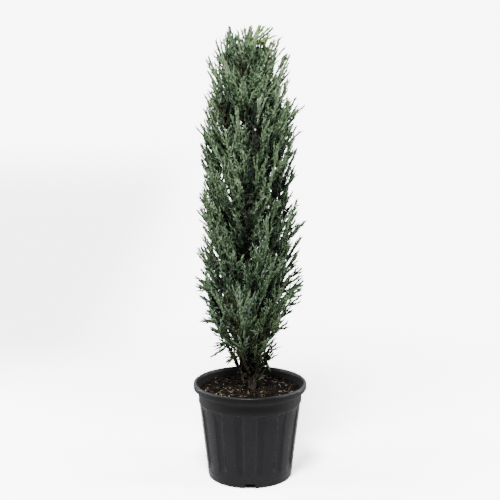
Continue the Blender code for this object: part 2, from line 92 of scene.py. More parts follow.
# The crown's radius at heights, then each tier: name, boughs, first bearing, the heights of a bough's
# root and foot and its stem's tip, how far out the last two are, radius
CROWN_OUTLINE = [
    (0.2085, 0.026), (0.2335, 0.038), (0.2655, 0.057), (0.3035, 0.074), (0.3435, 0.086), (0.3935, 0.092),
    (0.5635, 0.094), (0.7035, 0.088), (0.8035, 0.080), (0.8535, 0.062), (0.8825, 0.046),
]
TIERS = [
    ("low", 5, 180, 0.1895, 0.2355, 0.3485, 0.027, 0.058, 0.0032),
    ("lower", 4, 35, 0.2715, 0.3215, 0.4735, 0.027, 0.056, 0.0027),
    ("middle", 4, 80, 0.3915, 0.4415, 0.6015, 0.026, 0.058, 0.0024),
    ("upper", 4, 125, 0.5175, 0.5675, 0.7255, 0.025, 0.055, 0.0020),
    ("high", 4, 165, 0.6435, 0.6915, 0.8355, 0.021, 0.042, 0.0017),
]
TIER_STAGGER, BEARING_SPREAD = 0.009, 7
BOUGH_TAPER, BOUGH_BOW, BOUGH_SAG, BOUGH_POINTS = 0.68, 0.16, 0.10, 5
TOP_STEM_TIP, TOP_STEM_CARRY = (0.001, 0.000, 0.8495), 0.03
STEM_POINTS, STEM_TAPER, STEM_CARRY = 6, 0.5, 0.42
SEED = 41

# Foliage: twigs up each stem and up the trunk, plumes along each twig, cords along each plume.
# Pairs of sizes and of degrees go from the foot to the tip. A plume has its place along its twig,
# the degrees that it turns aside and its share of the full length
TWIGS_PER_METRE, FEWEST_TWIGS, TWIG_SPAN, TWIG_FAN = 134, 11, (0.01, 0.97), 165
TWIG_LEAN, TWIG_LENGTH, TWIG_RADIUS, TWIG_ROOM = (58, 26), (0.040, 0.018), 0.0012, 0.006
PLUMES = ((1.0, 0, 1.0), (0.76, 20, 0.92), (0.54, -22, 0.88), (0.32, 24, 0.82), (0.14, -20, 0.74))
PLUME_LENGTH, PLUME_WIDTH = 0.100, 0.0148
PLUME_FOLLOW, PLUME_RISE, PLUME_BOW = 0.5, 0.75, 0.12
SIZES_TRIED = (1.12, 1.0, 0.88, 0.76, 0.64, 0.52, 0.40)
AXIS_SHARES = (0.0, 0.24, 0.48, 0.72, 0.94, 1.0)
AXIS_RADIUS, CORD_RADIUS, FINE_RADIUS = 0.00160, 0.00146, 0.00138
CORD_SPACING, CORD_LEAN, CORD_KNEE, CORD_TIP = 0.0055, (25, 12), 0.66, 0.34
FINE_SPACING, FINE_LENGTH, FINE_LEAN, LAST_BUD = 0.0062, 0.0094, (15, 26), 0.93
# Points in the path of a plume's axis, a cord and a finer cord
CORD_POINTS = (len(AXIS_SHARES), 3, 2)
INNER_TWIGS, INNER_SPAN, INNER_TWIG_LENGTH, INNER_PLUME = 130, (0.199, 0.783), 0.024, 0.066
INNER_PLUMES, INNER_LEAN = ((1.0, 0, 1.0), (0.7, 34, 0.9), (0.45, -34, 0.85)), (38, 66)
LOW_SPRAYS, LOW_TINTS = 56, ("low_dry", "low_shade", "low_olive")
# Round from the front, lean, length, radius
FOOT_SHOOTS = ((-74, 33, 0.052, 0.0023), (80, 27, 0.056, 0.0022), (-30, 22, 0.046, 0.0017),
               (150, 30, 0.050, 0.0018), (24, 40, 0.034, 0.0013))
SPEARS, SPEAR_LENGTH, SPEAR_WIDTH, SPEAR_SLACK = 190, 0.080, 0.0088, 0.022
SPEAR_STOUT, SIDE_TIP_STOUT = 1.16, 1.34
OFFSHOOTS = ((0.34, 24, 0.52), (0.52, -22, 0.40))
NEIGHBOUR_OVERLAP = 0.006
# How much is left of the crown's outline at each height before it is roughened, and what a notch
# and a swell on its right add to it: heights, places across, share
DRAWN_IN, DRAWN_IN_SPREAD = ((0.24, 0.36, 0.68, 0.78), (0.82, 0.96, 0.94, 0.78)), 0.16
RIGHT_SIDE = ((((0.765, 0.795, 0.85), (0, 1, 1)), ((0.01, 0.03), (0, 1)), -0.24),
              (((0.33, 0.36, 0.43, 0.47), (0, 1, 1, 0)), ((0.0, 0.04), (0, 1)), 0.08))
WIDEST_SPEAR, FOOT_ROOM = 0.1085, 0.014
# How fast the outline's roughness changes round the crown and up it, and how uneven its top is
ROUGH_ROUND, ROUGH_UP, TOP_PATCHES, TOP_DIP, TOP_SPREAD = 2.1, 14, 26, 0.036, 0.05
# The same for the ridges and hollows, how deep both start and end, and where the core ends
RIDGES_ROUND, RIDGES_UP, HOLLOWS, CORE, HOLLOW_THINNING = 3.6, 6.0, (0.06, 0.24), (0.030, 0.052), 0.60
# How much the ridges' plumes are dealt paler tints, as painted light, and the hollows' darker ones, as
# painted shade
RIDGE_GLOW, HOLLOW_SHADE = 0.9, 1.9
GOLDEN_SHARE = (math.sqrt(5) - 1) / 2
PATH_STEPS = 60

# Tints, as base colours: the deepest, which stands for painted shade, inside and low down, the palest at
# the tips
TINTS = {
    "dry": (0.085, 0.052, 0.028),
    "shade": (0.014, 0.028, 0.013),
    "olive": (0.062, 0.090, 0.032),
    "deep": (0.062, 0.112, 0.054),
    "green": (0.140, 0.225, 0.110),
    "blue_grey": (0.195, 0.285, 0.195),
    "sage": (0.235, 0.335, 0.190),
    "spring": (0.225, 0.350, 0.110),
}
TINTS_OF_TIER = {
    "low": ("shade", "olive", "green", "blue_grey", "dry"),
    "lower": ("shade", "deep", "green", "blue_grey"),
    "middle": ("shade", "deep", "green", "sage"),
    "upper": ("shade", "deep", "green", "sage"),
    "high": ("deep", "green", "sage", "spring"),
}
# A plume's score rises with how far out it stands, which deals darker tints to the inner plumes as
# painted shade; it also rises round one height low down, with its mood and by chance, and falls in the
# top. Each step in the score starts the next paler tint, and the palest of the top only shows above one
# height
INNER_SHADE_WEIGHT, MOOD_WEIGHT, CHANCE, LEAST_RADIUS = 0.70, 0.24, 0.52, 0.055
LOW_GLOW, LOW_GLOW_Z, LOW_GLOW_SPREAD, TOP_SHADE, TOP_SHADE_Z = 0.15, 0.31, 0.08, 2.2, 0.70
TINT_STEPS, SPRING_Z = (0.52, 0.80, 1.12), 0.83

# Tips that stand out of the side outline: right of the middle, height, lean to the right, length
SIDE_TIPS = [
    (0.027, 0.8795, 38, 0.075), (0.037, 0.8765, 50, 0.080), (0.019, 0.8805, 30, 0.070),
    (0.080, 0.7380, 30, 0.075), (0.089, 0.7310, 32, 0.070), (0.071, 0.7440, 26, 0.080),
    (-0.083, 0.7220, -22, 0.080), (-0.088, 0.6820, -26, 0.075), (-0.091, 0.6470, -30, 0.070),
    (0.097, 0.5040, 42, 0.070), (0.088, 0.5150, 36, 0.070), (0.101, 0.4160, 52, 0.060),
    (-0.099, 0.3905, -72, 0.050), (-0.084, 0.3185, -84, 0.050), (0.104, 0.3970, 60, 0.060),
    (0.099, 0.3800, 64, 0.060), (0.091, 0.4400, 40, 0.065), (0.109, 0.5120, 48, 0.060),
    (-0.039, 0.8795, -4, 0.070), (-0.022, 0.8695, -8, 0.050), (0.000, 0.8805, 12, 0.062),
    (-0.010, 0.8755, -6, 0.060), (0.017, 0.8785, 26, 0.060), (0.044, 0.8765, 52, 0.085),
    (0.034, 0.8615, 22, 0.060), (0.040, 0.8505, 26, 0.070), (0.050, 0.8345, 18, 0.085),
    (0.074, 0.8255, 26, 0.100), (-0.045, 0.8625, -4, 0.075), (-0.064, 0.8525, -20, 0.085),
    (-0.064, 0.8325, -30, 0.060), (-0.077, 0.8235, -20, 0.095), (-0.078, 0.7955, -32, 0.075),
    (-0.073, 0.7565, -28, 0.085), (-0.080, 0.7445, -14, 0.090), (0.086, 0.7465, 28, 0.090),
    (0.086, 0.7155, 34, 0.060), (0.088, 0.6935, 30, 0.070), (-0.094, 0.7005, -30, 0.080),
    (-0.092, 0.6635, -24, 0.080), (-0.094, 0.6285, -30, 0.070), (0.089, 0.6515, 24, 0.080),
    (0.086, 0.6035, 30, 0.070), (-0.096, 0.5625, -38, 0.070), (-0.102, 0.5315, -40, 0.080),
    (0.089, 0.5325, 28, 0.070), (0.105, 0.5105, 46, 0.062), (0.093, 0.5055, 40, 0.075),
    (0.097, 0.4815, 30, 0.070), (0.094, 0.4555, 34, 0.070), (-0.098, 0.4615, -26, 0.085),
    (-0.096, 0.4165, -36, 0.080), (-0.101, 0.3965, -44, 0.070), (-0.104, 0.3815, -80, 0.042),
    (0.088, 0.4255, 46, 0.060), (0.097, 0.4045, 56, 0.065), (0.104, 0.3865, 70, 0.055),
    (0.094, 0.3755, 50, 0.065), (-0.095, 0.3675, -58, 0.060), (-0.082, 0.3385, -60, 0.055),
    (-0.087, 0.3255, -74, 0.060), (-0.092, 0.3165, -84, 0.050), (0.096, 0.3605, 54, 0.065),
    (0.081, 0.3335, 60, 0.060), (0.074, 0.3095, 52, 0.055), (-0.074, 0.2995, -52, 0.062),
    (-0.068, 0.2625, -104, 0.042), (-0.079, 0.2430, -124, 0.050), (-0.046, 0.2355, -116, 0.036),
    (0.053, 0.2725, 48, 0.060), (0.046, 0.2485, 40, 0.045), (0.037, 0.2135, 160, 0.034),
]


# Paths and the limbs' plan


def smooth_path(points, count):
    """Points spread along a smooth curve through the guide points."""
    guide = np.array(points, dtype=float)
    guide = np.vstack([2 * guide[0] - guide[1], guide, 2 * guide[-1] - guide[-2]])
    spans = len(guide) - 3
    path = []
    for step in np.linspace(0, spans, count):
        span = min(int(step), spans - 1)
        t = step - span
        a, b, c, d = guide[span : span + 4]
        path.append(0.5 * (2 * b + (c - a) * t + (2 * a - 5 * b + 4 * c - d) * t**2
                           + (3 * b - a - 3 * c + d) * t**3))
    return np.array(path)


def path_length(path):
    return np.linalg.norm(np.diff(path, axis=0), axis=1).sum()


def resampled(path, spacing):
    """The same path with a point every so far along a smooth curve through it."""
    return smooth_path(path, max(6, round(path_length(path) / spacing)))


def bend(start, control, end, count):
    """A curve that leaves start towards control and reaches end from it."""
    t = np.linspace(0, 1, count)[:, None]
    return (1 - t) ** 2 * start + 2 * t * (1 - t) * control + t**2 * end


def unit(vector):
    return vector / np.linalg.norm(vector, axis=-1, keepdims=True)


def level_way(bearing):
    return np.array([math.cos(bearing), math.sin(bearing), 0.0])


def leant(way, across, angle):
    """A way turned by an angle towards another that is square to it."""
    return way * math.cos(angle) + across * math.sin(angle)


def smooth_step(value, low, high):
    t = min(1.0, max(0.0, (value - low) / (high - low)))
    return t * t * (3 - 2 * t)


def trunk_radius(z):
    above_soil = np.maximum(z - TRUNK_FOOT_Z, 0)
    return np.interp(z, *zip(*TRUNK_GIRTH)) + TRUNK_FLARE * np.exp(-above_soil / TRUNK_FLARE_HEIGHT)


def on_trunk(trunk, z):
    return np.array([np.interp(z, trunk[:, 2], trunk[:, axis]) for axis in range(3)])


def crown_radius(z):
    return np.interp(z, *zip(*CROWN_OUTLINE))


def plan_limbs(trunk):
    """Each bough's path and radii, and the path of the stem that goes on from it."""
    rng = random.Random(SEED)
    plan = []
    for name, count, bearing, root, foot, tip, foot_out, tip_out, radius in TIERS:
        for number in range(count):
            spread = rng.uniform(-BEARING_SPREAD, BEARING_SPREAD)
            out = level_way(math.radians(bearing + 360 * number / count + spread))
            lift = TIER_STAGGER * (number % 2)
            start = on_trunk(trunk, root + lift)
            axis = np.array([CROWN_AXIS_X, 0.0, 0.0])
            foot_at = axis + out * foot_out + [0, 0, foot + lift]
            tip_at = axis + out * tip_out + [0, 0, tip + lift]
            knee = 0.5 * (start + foot_at) + out * foot_out * BOUGH_BOW
            knee[2] -= BOUGH_SAG * (foot - root)
            bough = bend(start, knee, foot_at, BOUGH_POINTS)
            onward = unit(bough[-1] - bough[-2])
            reach = np.linalg.norm(tip_at - foot_at)
            plan.append({
                "tier": name,
                "name": f"{name}_{number + 1}",
                "bough": bough,
                "bough_radii": (radius, radius * BOUGH_TAPER),
                "stem": bend(foot_at, foot_at + onward * reach * STEM_CARRY, tip_at, STEM_POINTS),
                "stem_radii": (radius * BOUGH_TAPER, radius * BOUGH_TAPER * STEM_TAPER),
            })
    onward = unit(trunk[-1] - trunk[-2])
    plan.append({
        "tier": "high",
        "name": "top",
        "stem": bend(trunk[-1], trunk[-1] + onward * TOP_STEM_CARRY, np.array(TOP_STEM_TIP), STEM_POINTS),
        "stem_radii": (TRUNK_GIRTH[-1][1], TRUNK_GIRTH[-1][1] * STEM_TAPER),
    })
    return plan


class Reach:
    """The room that the foliage keeps to: each mass to its own side of its neighbours, all of it
    inside the crown's outline."""

    def __init__(self, plan):
        stems = [limb["stem"] for limb in plan]
        self.start = np.vstack([stem[:-1] for stem in stems])
        self.run = np.vstack([np.diff(stem, axis=0) for stem in stems])
        self.firsts = np.cumsum([0] + [len(stem) - 1 for stem in stems[:-1]])

    def to_stems(self, points):
        offset = points[:, None] - self.start
        along = np.clip((offset * self.run).sum(-1) / (self.run**2).sum(-1), 0, 1)
        distance = np.linalg.norm(offset - along[..., None] * self.run, axis=-1)
        return np.minimum.reduceat(distance, self.firsts, axis=1)

    def side_room(self, points, own):
        """How far each point lies on its own mass's side, or ample room if it belongs to none."""
        if own is None:
            return np.ones(len(points))
        distance = self.to_stems(points)
        mine = distance[:, own].copy()
        distance[:, own] = np.inf
        return (distance.min(axis=1) - mine) / 2

    @staticmethod
    def crown_room(points, slack=None):
        """How far each point lies inside the crown. Its outline is drawn in here and there, and
        only what is given some slack is measured against the whole of it and that much more."""
        across, height = points[:, 0], points[:, 2]
        away = np.hypot(across - CROWN_AXIS_X, points[:, 1])
        outline = crown_radius(height)
        top = CROWN_TOP
        if slack is None:
            rough = np.array([noise.noise(Vector((*(point[:2] / span * ROUGH_ROUND), point[2] * ROUGH_UP)))
                              for point, span in zip(points, np.maximum(away, 0.001))])
            hollows = np.array([noise.noise(Vector((*point[:2] * TOP_PATCHES, 2.6))) for point in points])
            outline = outline * (np.interp(height, *DRAWN_IN) + DRAWN_IN_SPREAD * rough)
            right = 1
            for heights, places, share in RIGHT_SIDE:
                right = right + share * (np.interp(height, *heights) * np.interp(across, *places))
            outline = outline * right
            top = CROWN_TOP - TOP_DIP + TOP_SPREAD * hollows
        else:
            outline = np.minimum(outline + slack, WIDEST_SPEAR + np.minimum(across, 0) * 0.02)
        room = np.minimum(outline - away, top - height)
        return np.minimum(room, height - CROWN_OUTLINE[0][0] + FOOT_ROOM)

    @staticmethod
    def relief(point):
        """How much a place lies on one of the crown's upright ridges, and how much in one of the
        tall dark hollows between them, both 0 to 1."""
        x, y = point[0] - CROWN_AXIS_X, point[1]
        away = max(0.001, math.hypot(x, y))
        depth = noise.noise(Vector((x / away * RIDGES_ROUND, y / away * RIDGES_ROUND,
                                    point[2] * RIDGES_UP + 4.0)))
        outer = smooth_step(away, *CORE)
        return smooth_step(depth, *HOLLOWS) * outer, smooth_step(-depth, *HOLLOWS) * outer


# Shader nodes and the groups that materials share

FLOAT, VECTOR = "NodeSocketFloat", "NodeSocketVector"


def feed(tree, node, inputs):
    """Sets a node's inputs to values or links them from other sockets, and hands on its outputs."""
    for name, value in inputs.items():
        if isinstance(value, bpy.types.NodeSocket):
            tree.links.new(value, node.inputs[name])
        else:
            node.inputs[name].default_value = value
    return node.outputs


def add(tree, kind, inputs, **settings):
    """A new node with its settings and its inputs, known by its outputs."""
    made = tree.nodes.new("ShaderNode" + kind)
    for name, value in settings.items():
        setattr(made, name, value)
    return feed(tree, made, inputs)


def maths(tree, operation, *values):
    return add(tree, "Math", dict(enumerate(values)), operation=operation)[0]


def scaled(tree, value, factor):
    return maths(tree, "MULTIPLY", value, factor)


def ranged(tree, value, low=0.0, high=1.0, to_low=0.0, to_high=1.0, kind="LINEAR"):
    """A value carried from one range to another, and kept inside it."""
    return add(tree, "MapRange", {"Value": value, "From Min": low, "From Max": high, "To Min": to_low,
                                  "To Max": to_high}, interpolation_type=kind)["Result"]


def split(tree, vector):
    return add(tree, "SeparateXYZ", {0: vector})


def cloud(tree, vector, scale, detail, roughness):
    return add(tree, "TexNoise", {"Vector": vector, "Scale": scale, "Detail": detail,
                                  "Roughness": roughness})["Fac"]


def new_group(name, inputs, outputs):
    """An empty node group that reads a vector and some more inputs, and its two ends."""
    tree = bpy.data.node_groups.new(name, "ShaderNodeTree")
    tree.interface.new_socket(name="Vector", in_out="INPUT", socket_type=VECTOR)
    for key, value in inputs.items():
        kind = VECTOR if isinstance(value, tuple) else FLOAT
        tree.interface.new_socket(name=key, in_out="INPUT", socket_type=kind).default_value = value
    for key in outputs:
        tree.interface.new_socket(name=key, in_out="OUTPUT", socket_type=FLOAT)
    return tree, tree.nodes.new("NodeGroupInput").outputs, tree.nodes.new("NodeGroupOutput")


def mottle_group():
    """Soft patches of a given density per metre, cut between a low and a high level."""
    tree, given, end = new_group("mottle", {"Per metre": 50.0, "Detail": 4.0, "Low": 0.35, "High": 0.65},
                                 ["Mask"])
    patches = cloud(tree, given["Vector"], given["Per metre"], given["Detail"], 0.6)
    feed(tree, end, {"Mask": ranged(tree, patches, given["Low"], given["High"])})
    return tree


def scales_group():
    """Small overlapping scale leaves: how near each point is to a scale's middle."""
    tree, given, end = new_group("scale_leaves", {"Per metre": 700.0}, ["Middle"])
    cells = add(tree, "TexVoronoi", {"Vector": given["Vector"], "Scale": given["Per metre"],
                                     "Randomness": 0.7}, feature="F1")
    feed(tree, end, {"Middle": ranged(tree, cells["Distance"], 0.1, 0.6, 1.0, 0.0)})
    return tree


def dust_group():
    """Dust that settles on what faces up and gathers in patches."""
    tree, given, end = new_group("settled_dust", {"Per metre": 60.0, "Amount": 0.4, "On sides": 0.25},
                                 ["Mask"])
    facing = split(tree, add(tree, "NewGeometry", {})["Normal"])
    up = ranged(tree, facing["Z"], 0.0, 0.9, given["On sides"], 1.0)
    patches = ranged(tree, cloud(tree, given["Vector"], given["Per metre"], 6.0, 0.65), 0.42, 0.72)
    feed(tree, end, {"Mask": scaled(tree, scaled(tree, patches, up), given["Amount"])})
    return tree


def grain_group():
    """Long fibres or mould lines: noise drawn out along one way, as a mask and a height."""
    tree, given, end = new_group("drawn_grain", {"Across": (900.0, 900.0, 60.0), "Low": 0.4, "High": 0.65},
                                 ["Mask", "Height"])
    drawn = add(tree, "VectorMath", {0: given["Vector"], 1: given["Across"]}, operation="MULTIPLY")
    lines = cloud(tree, drawn["Vector"], 1.0, 5.0, 0.6)
    feed(tree, end, {"Mask": ranged(tree, lines, given["Low"], given["High"]), "Height": lines})
    return tree


MOTTLE, SCALES, DUST, GRAIN = mottle_group(), scales_group(), dust_group(), grain_group()


# Materials


class Look:
    """A material in the making: its nodes, the object's own coordinates, and its colour so far."""

    def __init__(self, name, colour, specular=0.5):
        self.material = bpy.data.materials.new(name)
        self.material.use_nodes = True
        self.tree = self.material.node_tree
        self.shader = self.tree.nodes["Principled BSDF"]
        self.shader.inputs["Specular IOR Level"].default_value = specular
        self.place = add(self.tree, "TexCoord", {})["Object"]
        self.colour = colour

    def group(self, group, **inputs):
        """One of the shared groups, laid on the object's own coordinates."""
        made = self.tree.nodes.new("ShaderNodeGroup")
        made.node_tree = group
        named = {name.replace("_", " ").capitalize(): value for name, value in inputs.items()}
        return feed(self.tree, made, {"Vector": self.place, **named})

    def mottle(self, per_metre, low, high, detail=4.0):
        return self.group(MOTTLE, per_metre=per_metre, low=low, high=high, detail=detail)["Mask"]

    def tint(self, mask, colour, share=None):
        """Lets another colour show where the mask is high, in full or by a share."""
        made = self.tree.nodes.new("ShaderNodeMix")
        made.data_type = "RGBA"
        below = (*self.colour, 1.0) if isinstance(self.colour, tuple) else self.colour
        part = mask if share is None else scaled(self.tree, mask, share)
        self.colour = feed(self.tree, made, {0: part, 6: below, 7: (*colour, 1.0)})[2]

    def finish(self, rough, height, strength, depth):
        """Links the colour and the roughness, and lets a height show as fine relief."""
        bump = add(self.tree, "Bump", {"Height": height, "Strength": strength, "Distance": depth})
        feed(self.tree, self.shader, {"Base Color": self.colour, "Roughness": rough,
                                      "Normal": bump["Normal"]})
        return self.material


def flute_mask(tree, place, height):
    """Where the wall's pressed grooves are, whose plastic is duller than the ribs' and painted a little
    darker, as painted shade.
    """
    parts = split(tree, place)
    turn = maths(tree, "ARCTAN2", parts["X"], scaled(tree, parts["Y"], -1.0))
    share = maths(tree, "FRACT", scaled(tree, turn, POT_FLUTES / math.tau))
    mask = ranged(tree, maths(tree, "ABSOLUTE", maths(tree, "ADD", share, -0.5)), 0.22, 0.14)
    for edge, run in ((POT_FLUTE_BOTTOM, 0.014), (POT_FLUTE_TOP, -0.004)):
        mask = scaled(tree, mask, ranged(tree, height, edge, edge + run))
    return mask


def pot_material():
    look = Look("black_pot_plastic", (0.0062, 0.0062, 0.0082), 0.36)
    tree, place = look.tree, look.place
    tone = look.mottle(34.0, 0.3, 0.7)
    look.tint(tone, (0.0105, 0.0105, 0.0132))
    scuff = look.group(GRAIN, across=(260.0, 260.0, 1500.0), low=0.62, high=0.74)
    look.tint(scuff["Mask"], (0.040, 0.040, 0.042), 0.08)
    look.tint(look.group(DUST, per_metre=70.0, amount=0.12, on_sides=0.02)["Mask"], (0.12, 0.110, 0.095))
    level = add(tree, "VectorMath", {0: place, 1: (1.0, 1.0, 0.0)}, operation="MULTIPLY")[0]
    facing = add(tree, "VectorMath", {0: level, 1: add(tree, "NewGeometry", {})["Normal"]},
                 operation="DOT_PRODUCT")["Value"]
    height = split(tree, place)["Z"]
    below_lip = ranged(tree, height, POT_HEIGHT - 0.003, POT_HEIGHT - 0.006)
    inside = scaled(tree, ranged(tree, facing, 0.0, -0.03), below_lip)
    above_band = ranged(tree, height, POT_BAND_BOTTOM - 0.001, POT_BAND_BOTTOM + 0.001)
    shaded_collar = scaled(tree, above_band, below_lip)
    groove = flute_mask(tree, place, height)
    # Painted shade: the band under the lip is darkened where the lip overhangs it
    look.tint(shaded_collar, (0.0030, 0.0030, 0.0038), 0.8)
    # Painted shade: the grooves between the ribs are darkened a little
    look.tint(groove, (0.0026, 0.0026, 0.0032), 0.35)
    # Painted shade: the inside of the pot is painted darker brown, and made matt
    look.tint(inside, (0.0034, 0.0028, 0.0022))
    rough = ranged(tree, tone, to_low=0.22, to_high=0.30)
    lip = maths(tree, "SUBTRACT", 1.0, below_lip)
    for part, least in ((inside, 0.95), (shaded_collar, 0.48), (groove, 0.42), (lip, 0.40)):
        rough = maths(tree, "MAXIMUM", rough, scaled(tree, part, least))
    return look.finish(rough, look.mottle(900.0, 0.2, 0.8, 2.0), 0.02, 0.0001)


def soil_material():
    look = Look("damp_potting_soil", (0.0022, 0.0017, 0.0013), 0.07)
    coarse, fine = look.mottle(120.0, 0.4, 0.66), look.mottle(520.0, 0.56, 0.72)
    look.tint(coarse, (0.0072, 0.0050, 0.0032))
    look.tint(fine, (0.050, 0.031, 0.016), 0.6)
    return look.finish(ranged(look.tree, coarse, to_low=0.72, to_high=0.95), fine, 0.8, 0.0016)


def bark_material(name, dark, light, grey, fibre):
    """Bark of drawn-out fibres, in greyer patches, and darker towards its foot."""
    look = Look(name, dark)
    fibres = look.group(GRAIN, across=(fibre, fibre, fibre * 0.09), low=0.36, high=0.64)
    look.tint(fibres["Mask"], light)
    look.tint(look.mottle(85.0, 0.48, 0.66), grey, 0.6)
    height = split(look.tree, look.place)["Z"]
    look.tint(ranged(look.tree, height, SOIL_Z + 0.026, SOIL_Z + 0.006, 0.0, 0.72), (0.016, 0.010, 0.007))
    rough = ranged(look.tree, fibres["Mask"], to_low=0.70, to_high=0.92)
    return look.finish(rough, fibres["Height"], 0.8, 0.0012)


def leaf_material(name, colour):
    """One tint of leaf cord: its colour, duller patches, waxy and dark flecks, pale scale tips."""
    look = Look(name, colour, 0.38)
    dull = tuple(channel * share for channel, share in zip(colour, (0.55, 0.60, 0.50)))
    dark = tuple(channel * share for channel, share in zip(colour, (0.18, 0.21, 0.17)))
    bloom = tuple(min(1.0, channel * share + 0.02) for channel, share in zip(colour, (1.80, 1.70, 1.85)))
    patches = look.mottle(42.0, 0.35, 0.70)
    scales = look.group(SCALES, per_metre=620.0)["Middle"]
    look.tint(patches, dull, 0.55)
    look.tint(look.mottle(190.0, 0.50, 0.68), dark, 0.85)
    look.tint(look.mottle(260.0, 0.50, 0.70), bloom, 0.66)
    look.tint(scales, bloom, 0.35)
    return look.finish(ranged(look.tree, patches, to_low=0.52, to_high=0.70), scales, 0.5, 0.0005)


def grit_material(name, colour, other, roughness):
    look = Look(name, colour, 0.20)
    patches = look.mottle(330.0, 0.35, 0.65)
    grain = look.group(GRAIN, across=(1400.0, 500.0, 1400.0))
    look.tint(patches, other)
    rough = ranged(look.tree, patches, to_low=roughness - 0.12, to_high=roughness)
    return look.finish(rough, grain["Height"], 0.5, 0.0006)


# Making pieces


def put(name, data):
    """A new object in the scene."""
    thing = bpy.data.objects.new(name, data)
    bpy.context.scene.collection.objects.link(thing)
    return thing


def piece(name, mesh, material, slot, *nodes, smooth=True):
    """A finished piece that rides on the plant's one body and stands for the named solids."""
    mesh.name = name
    mesh.materials.clear()
    mesh.materials.append(material)
    mesh.polygons.foreach_set("use_smooth", [smooth] * len(mesh.polygons))
    thing = put(name, mesh)
    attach(thing, BODY)
    if nodes:
        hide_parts(*nodes)
    return thing


def mesh_from(bm):
    mesh = bpy.data.meshes.new("mesh")
    bm.to_mesh(mesh)
    bm.free()
    return mesh


def joined_mesh(verts, triangles):
    """One mesh from arrays of points and triangles, for the many small things."""
    mesh = bpy.data.meshes.new("mesh")
    mesh.vertices.add(len(verts))
    mesh.vertices.foreach_set("co", verts.astype(np.float32).ravel())
    mesh.loops.add(3 * len(triangles))
    mesh.loops.foreach_set("vertex_index", triangles.astype(np.int32).ravel())
    mesh.polygons.add(len(triangles))
    mesh.polygons.foreach_set("loop_start", np.arange(0, 3 * len(triangles), 3, dtype=np.int32))
    mesh.update(calc_edges=True)
    mesh.validate()
    return mesh


def cord_arrays(paths, radii, sides=3):
    """Closed tapering cords with pointed tips. paths is cords x points x 3, radii cords x (points - 1)."""
    count, points = paths.shape[:2]
    rings = points - 1
    ways = unit(np.gradient(paths, axis=1))[:, :rings]
    helper = np.where(np.abs(ways[..., 2:3]) < 0.9, UP, [1.0, 0.0, 0.0])
    first = unit(np.cross(ways, helper))
    second = np.cross(ways, first)
    turns = np.arange(sides) * math.tau / sides
    around = first[:, :, None] * np.cos(turns)[:, None] + second[:, :, None] * np.sin(turns)[:, None]
    ring_verts = paths[:, :rings, None] + around * radii[:, :, None, None]
    verts = np.concatenate([ring_verts.reshape(count, -1, 3), paths[:, -1:]], axis=1)
    each = rings * sides + 1
    faces = [(0, sides - 1 - k, sides - 2 - k) for k in range(sides - 2)]
    for ring in range(rings - 1):
        for k in range(sides):
            a, b = ring * sides + k, ring * sides + (k + 1) % sides
            faces += [(a, b, b + sides), (a, b + sides, a + sides)]
    last = (rings - 1) * sides
    faces += [(last + k, last + (k + 1) % sides, each - 1) for k in range(sides)]
    faces = np.array(faces)[None] + (np.arange(count) * each)[:, None, None]
    return verts.reshape(-1, 3), faces.reshape(-1, 3)


def stacked(parts):
    """Several lots of points and triangles as one."""
    starts = np.cumsum([0] + [len(verts) for verts, _ in parts[:-1]])
    return (np.vstack([verts for verts, _ in parts]),
            np.vstack([faces + start for (_, faces), start in zip(parts, starts)]))


def applied(thing):
    """Makes a piece's modifiers part of its mesh."""
    shape = thing.evaluated_get(bpy.context.evaluated_depsgraph_get())
    mesh = bpy.data.meshes.new_from_object(shape)
    mesh.name = thing.name
    thing.modifiers.clear()
    thing.data = mesh


def shade_by_angle(mesh, degrees):
    """Smooth shading, with the sharper edges kept crisp."""
    mesh.polygons.foreach_set("use_smooth", [True] * len(mesh.polygons))
    bm = bmesh.new()
    bm.from_mesh(mesh)
    for edge in bm.edges:
        edge.smooth = edge.calc_face_angle(0.0) < math.radians(degrees)
    bm.to_mesh(mesh)
    bm.free()


# Pot


def spun(profile, steps):
    """A closed body from a profile of radius and height whose ends are on the axis."""
    bm = bmesh.new()
    verts = [bm.verts.new((0, -radius, height)) for radius, height in profile]
    edges = [bm.edges.new(pair) for pair in zip(verts, verts[1:])]
    bmesh.ops.spin(bm, geom=verts + edges, cent=(0, 0, 0), axis=(0, 0, 1), dvec=(0, 0, 0),
                   angle=math.tau, steps=steps, use_merge=True, use_duplicate=False)
    bmesh.ops.remove_doubles(bm, verts=bm.verts, dist=1e-6)
    bmesh.ops.recalc_face_normals(bm, faces=bm.faces)
    return bm


def arc(radius, height, bend_radius, first, last, count):
    """Points of a profile round a centre, from one angle to another in degrees."""
    return [(radius + bend_radius * math.cos(math.radians(turn)),
             height + bend_radius * math.sin(math.radians(turn)))
            for turn in np.linspace(first, last, count)]


def wall(z):
    return POT_FOOT_RADIUS + POT_SLOPE * z


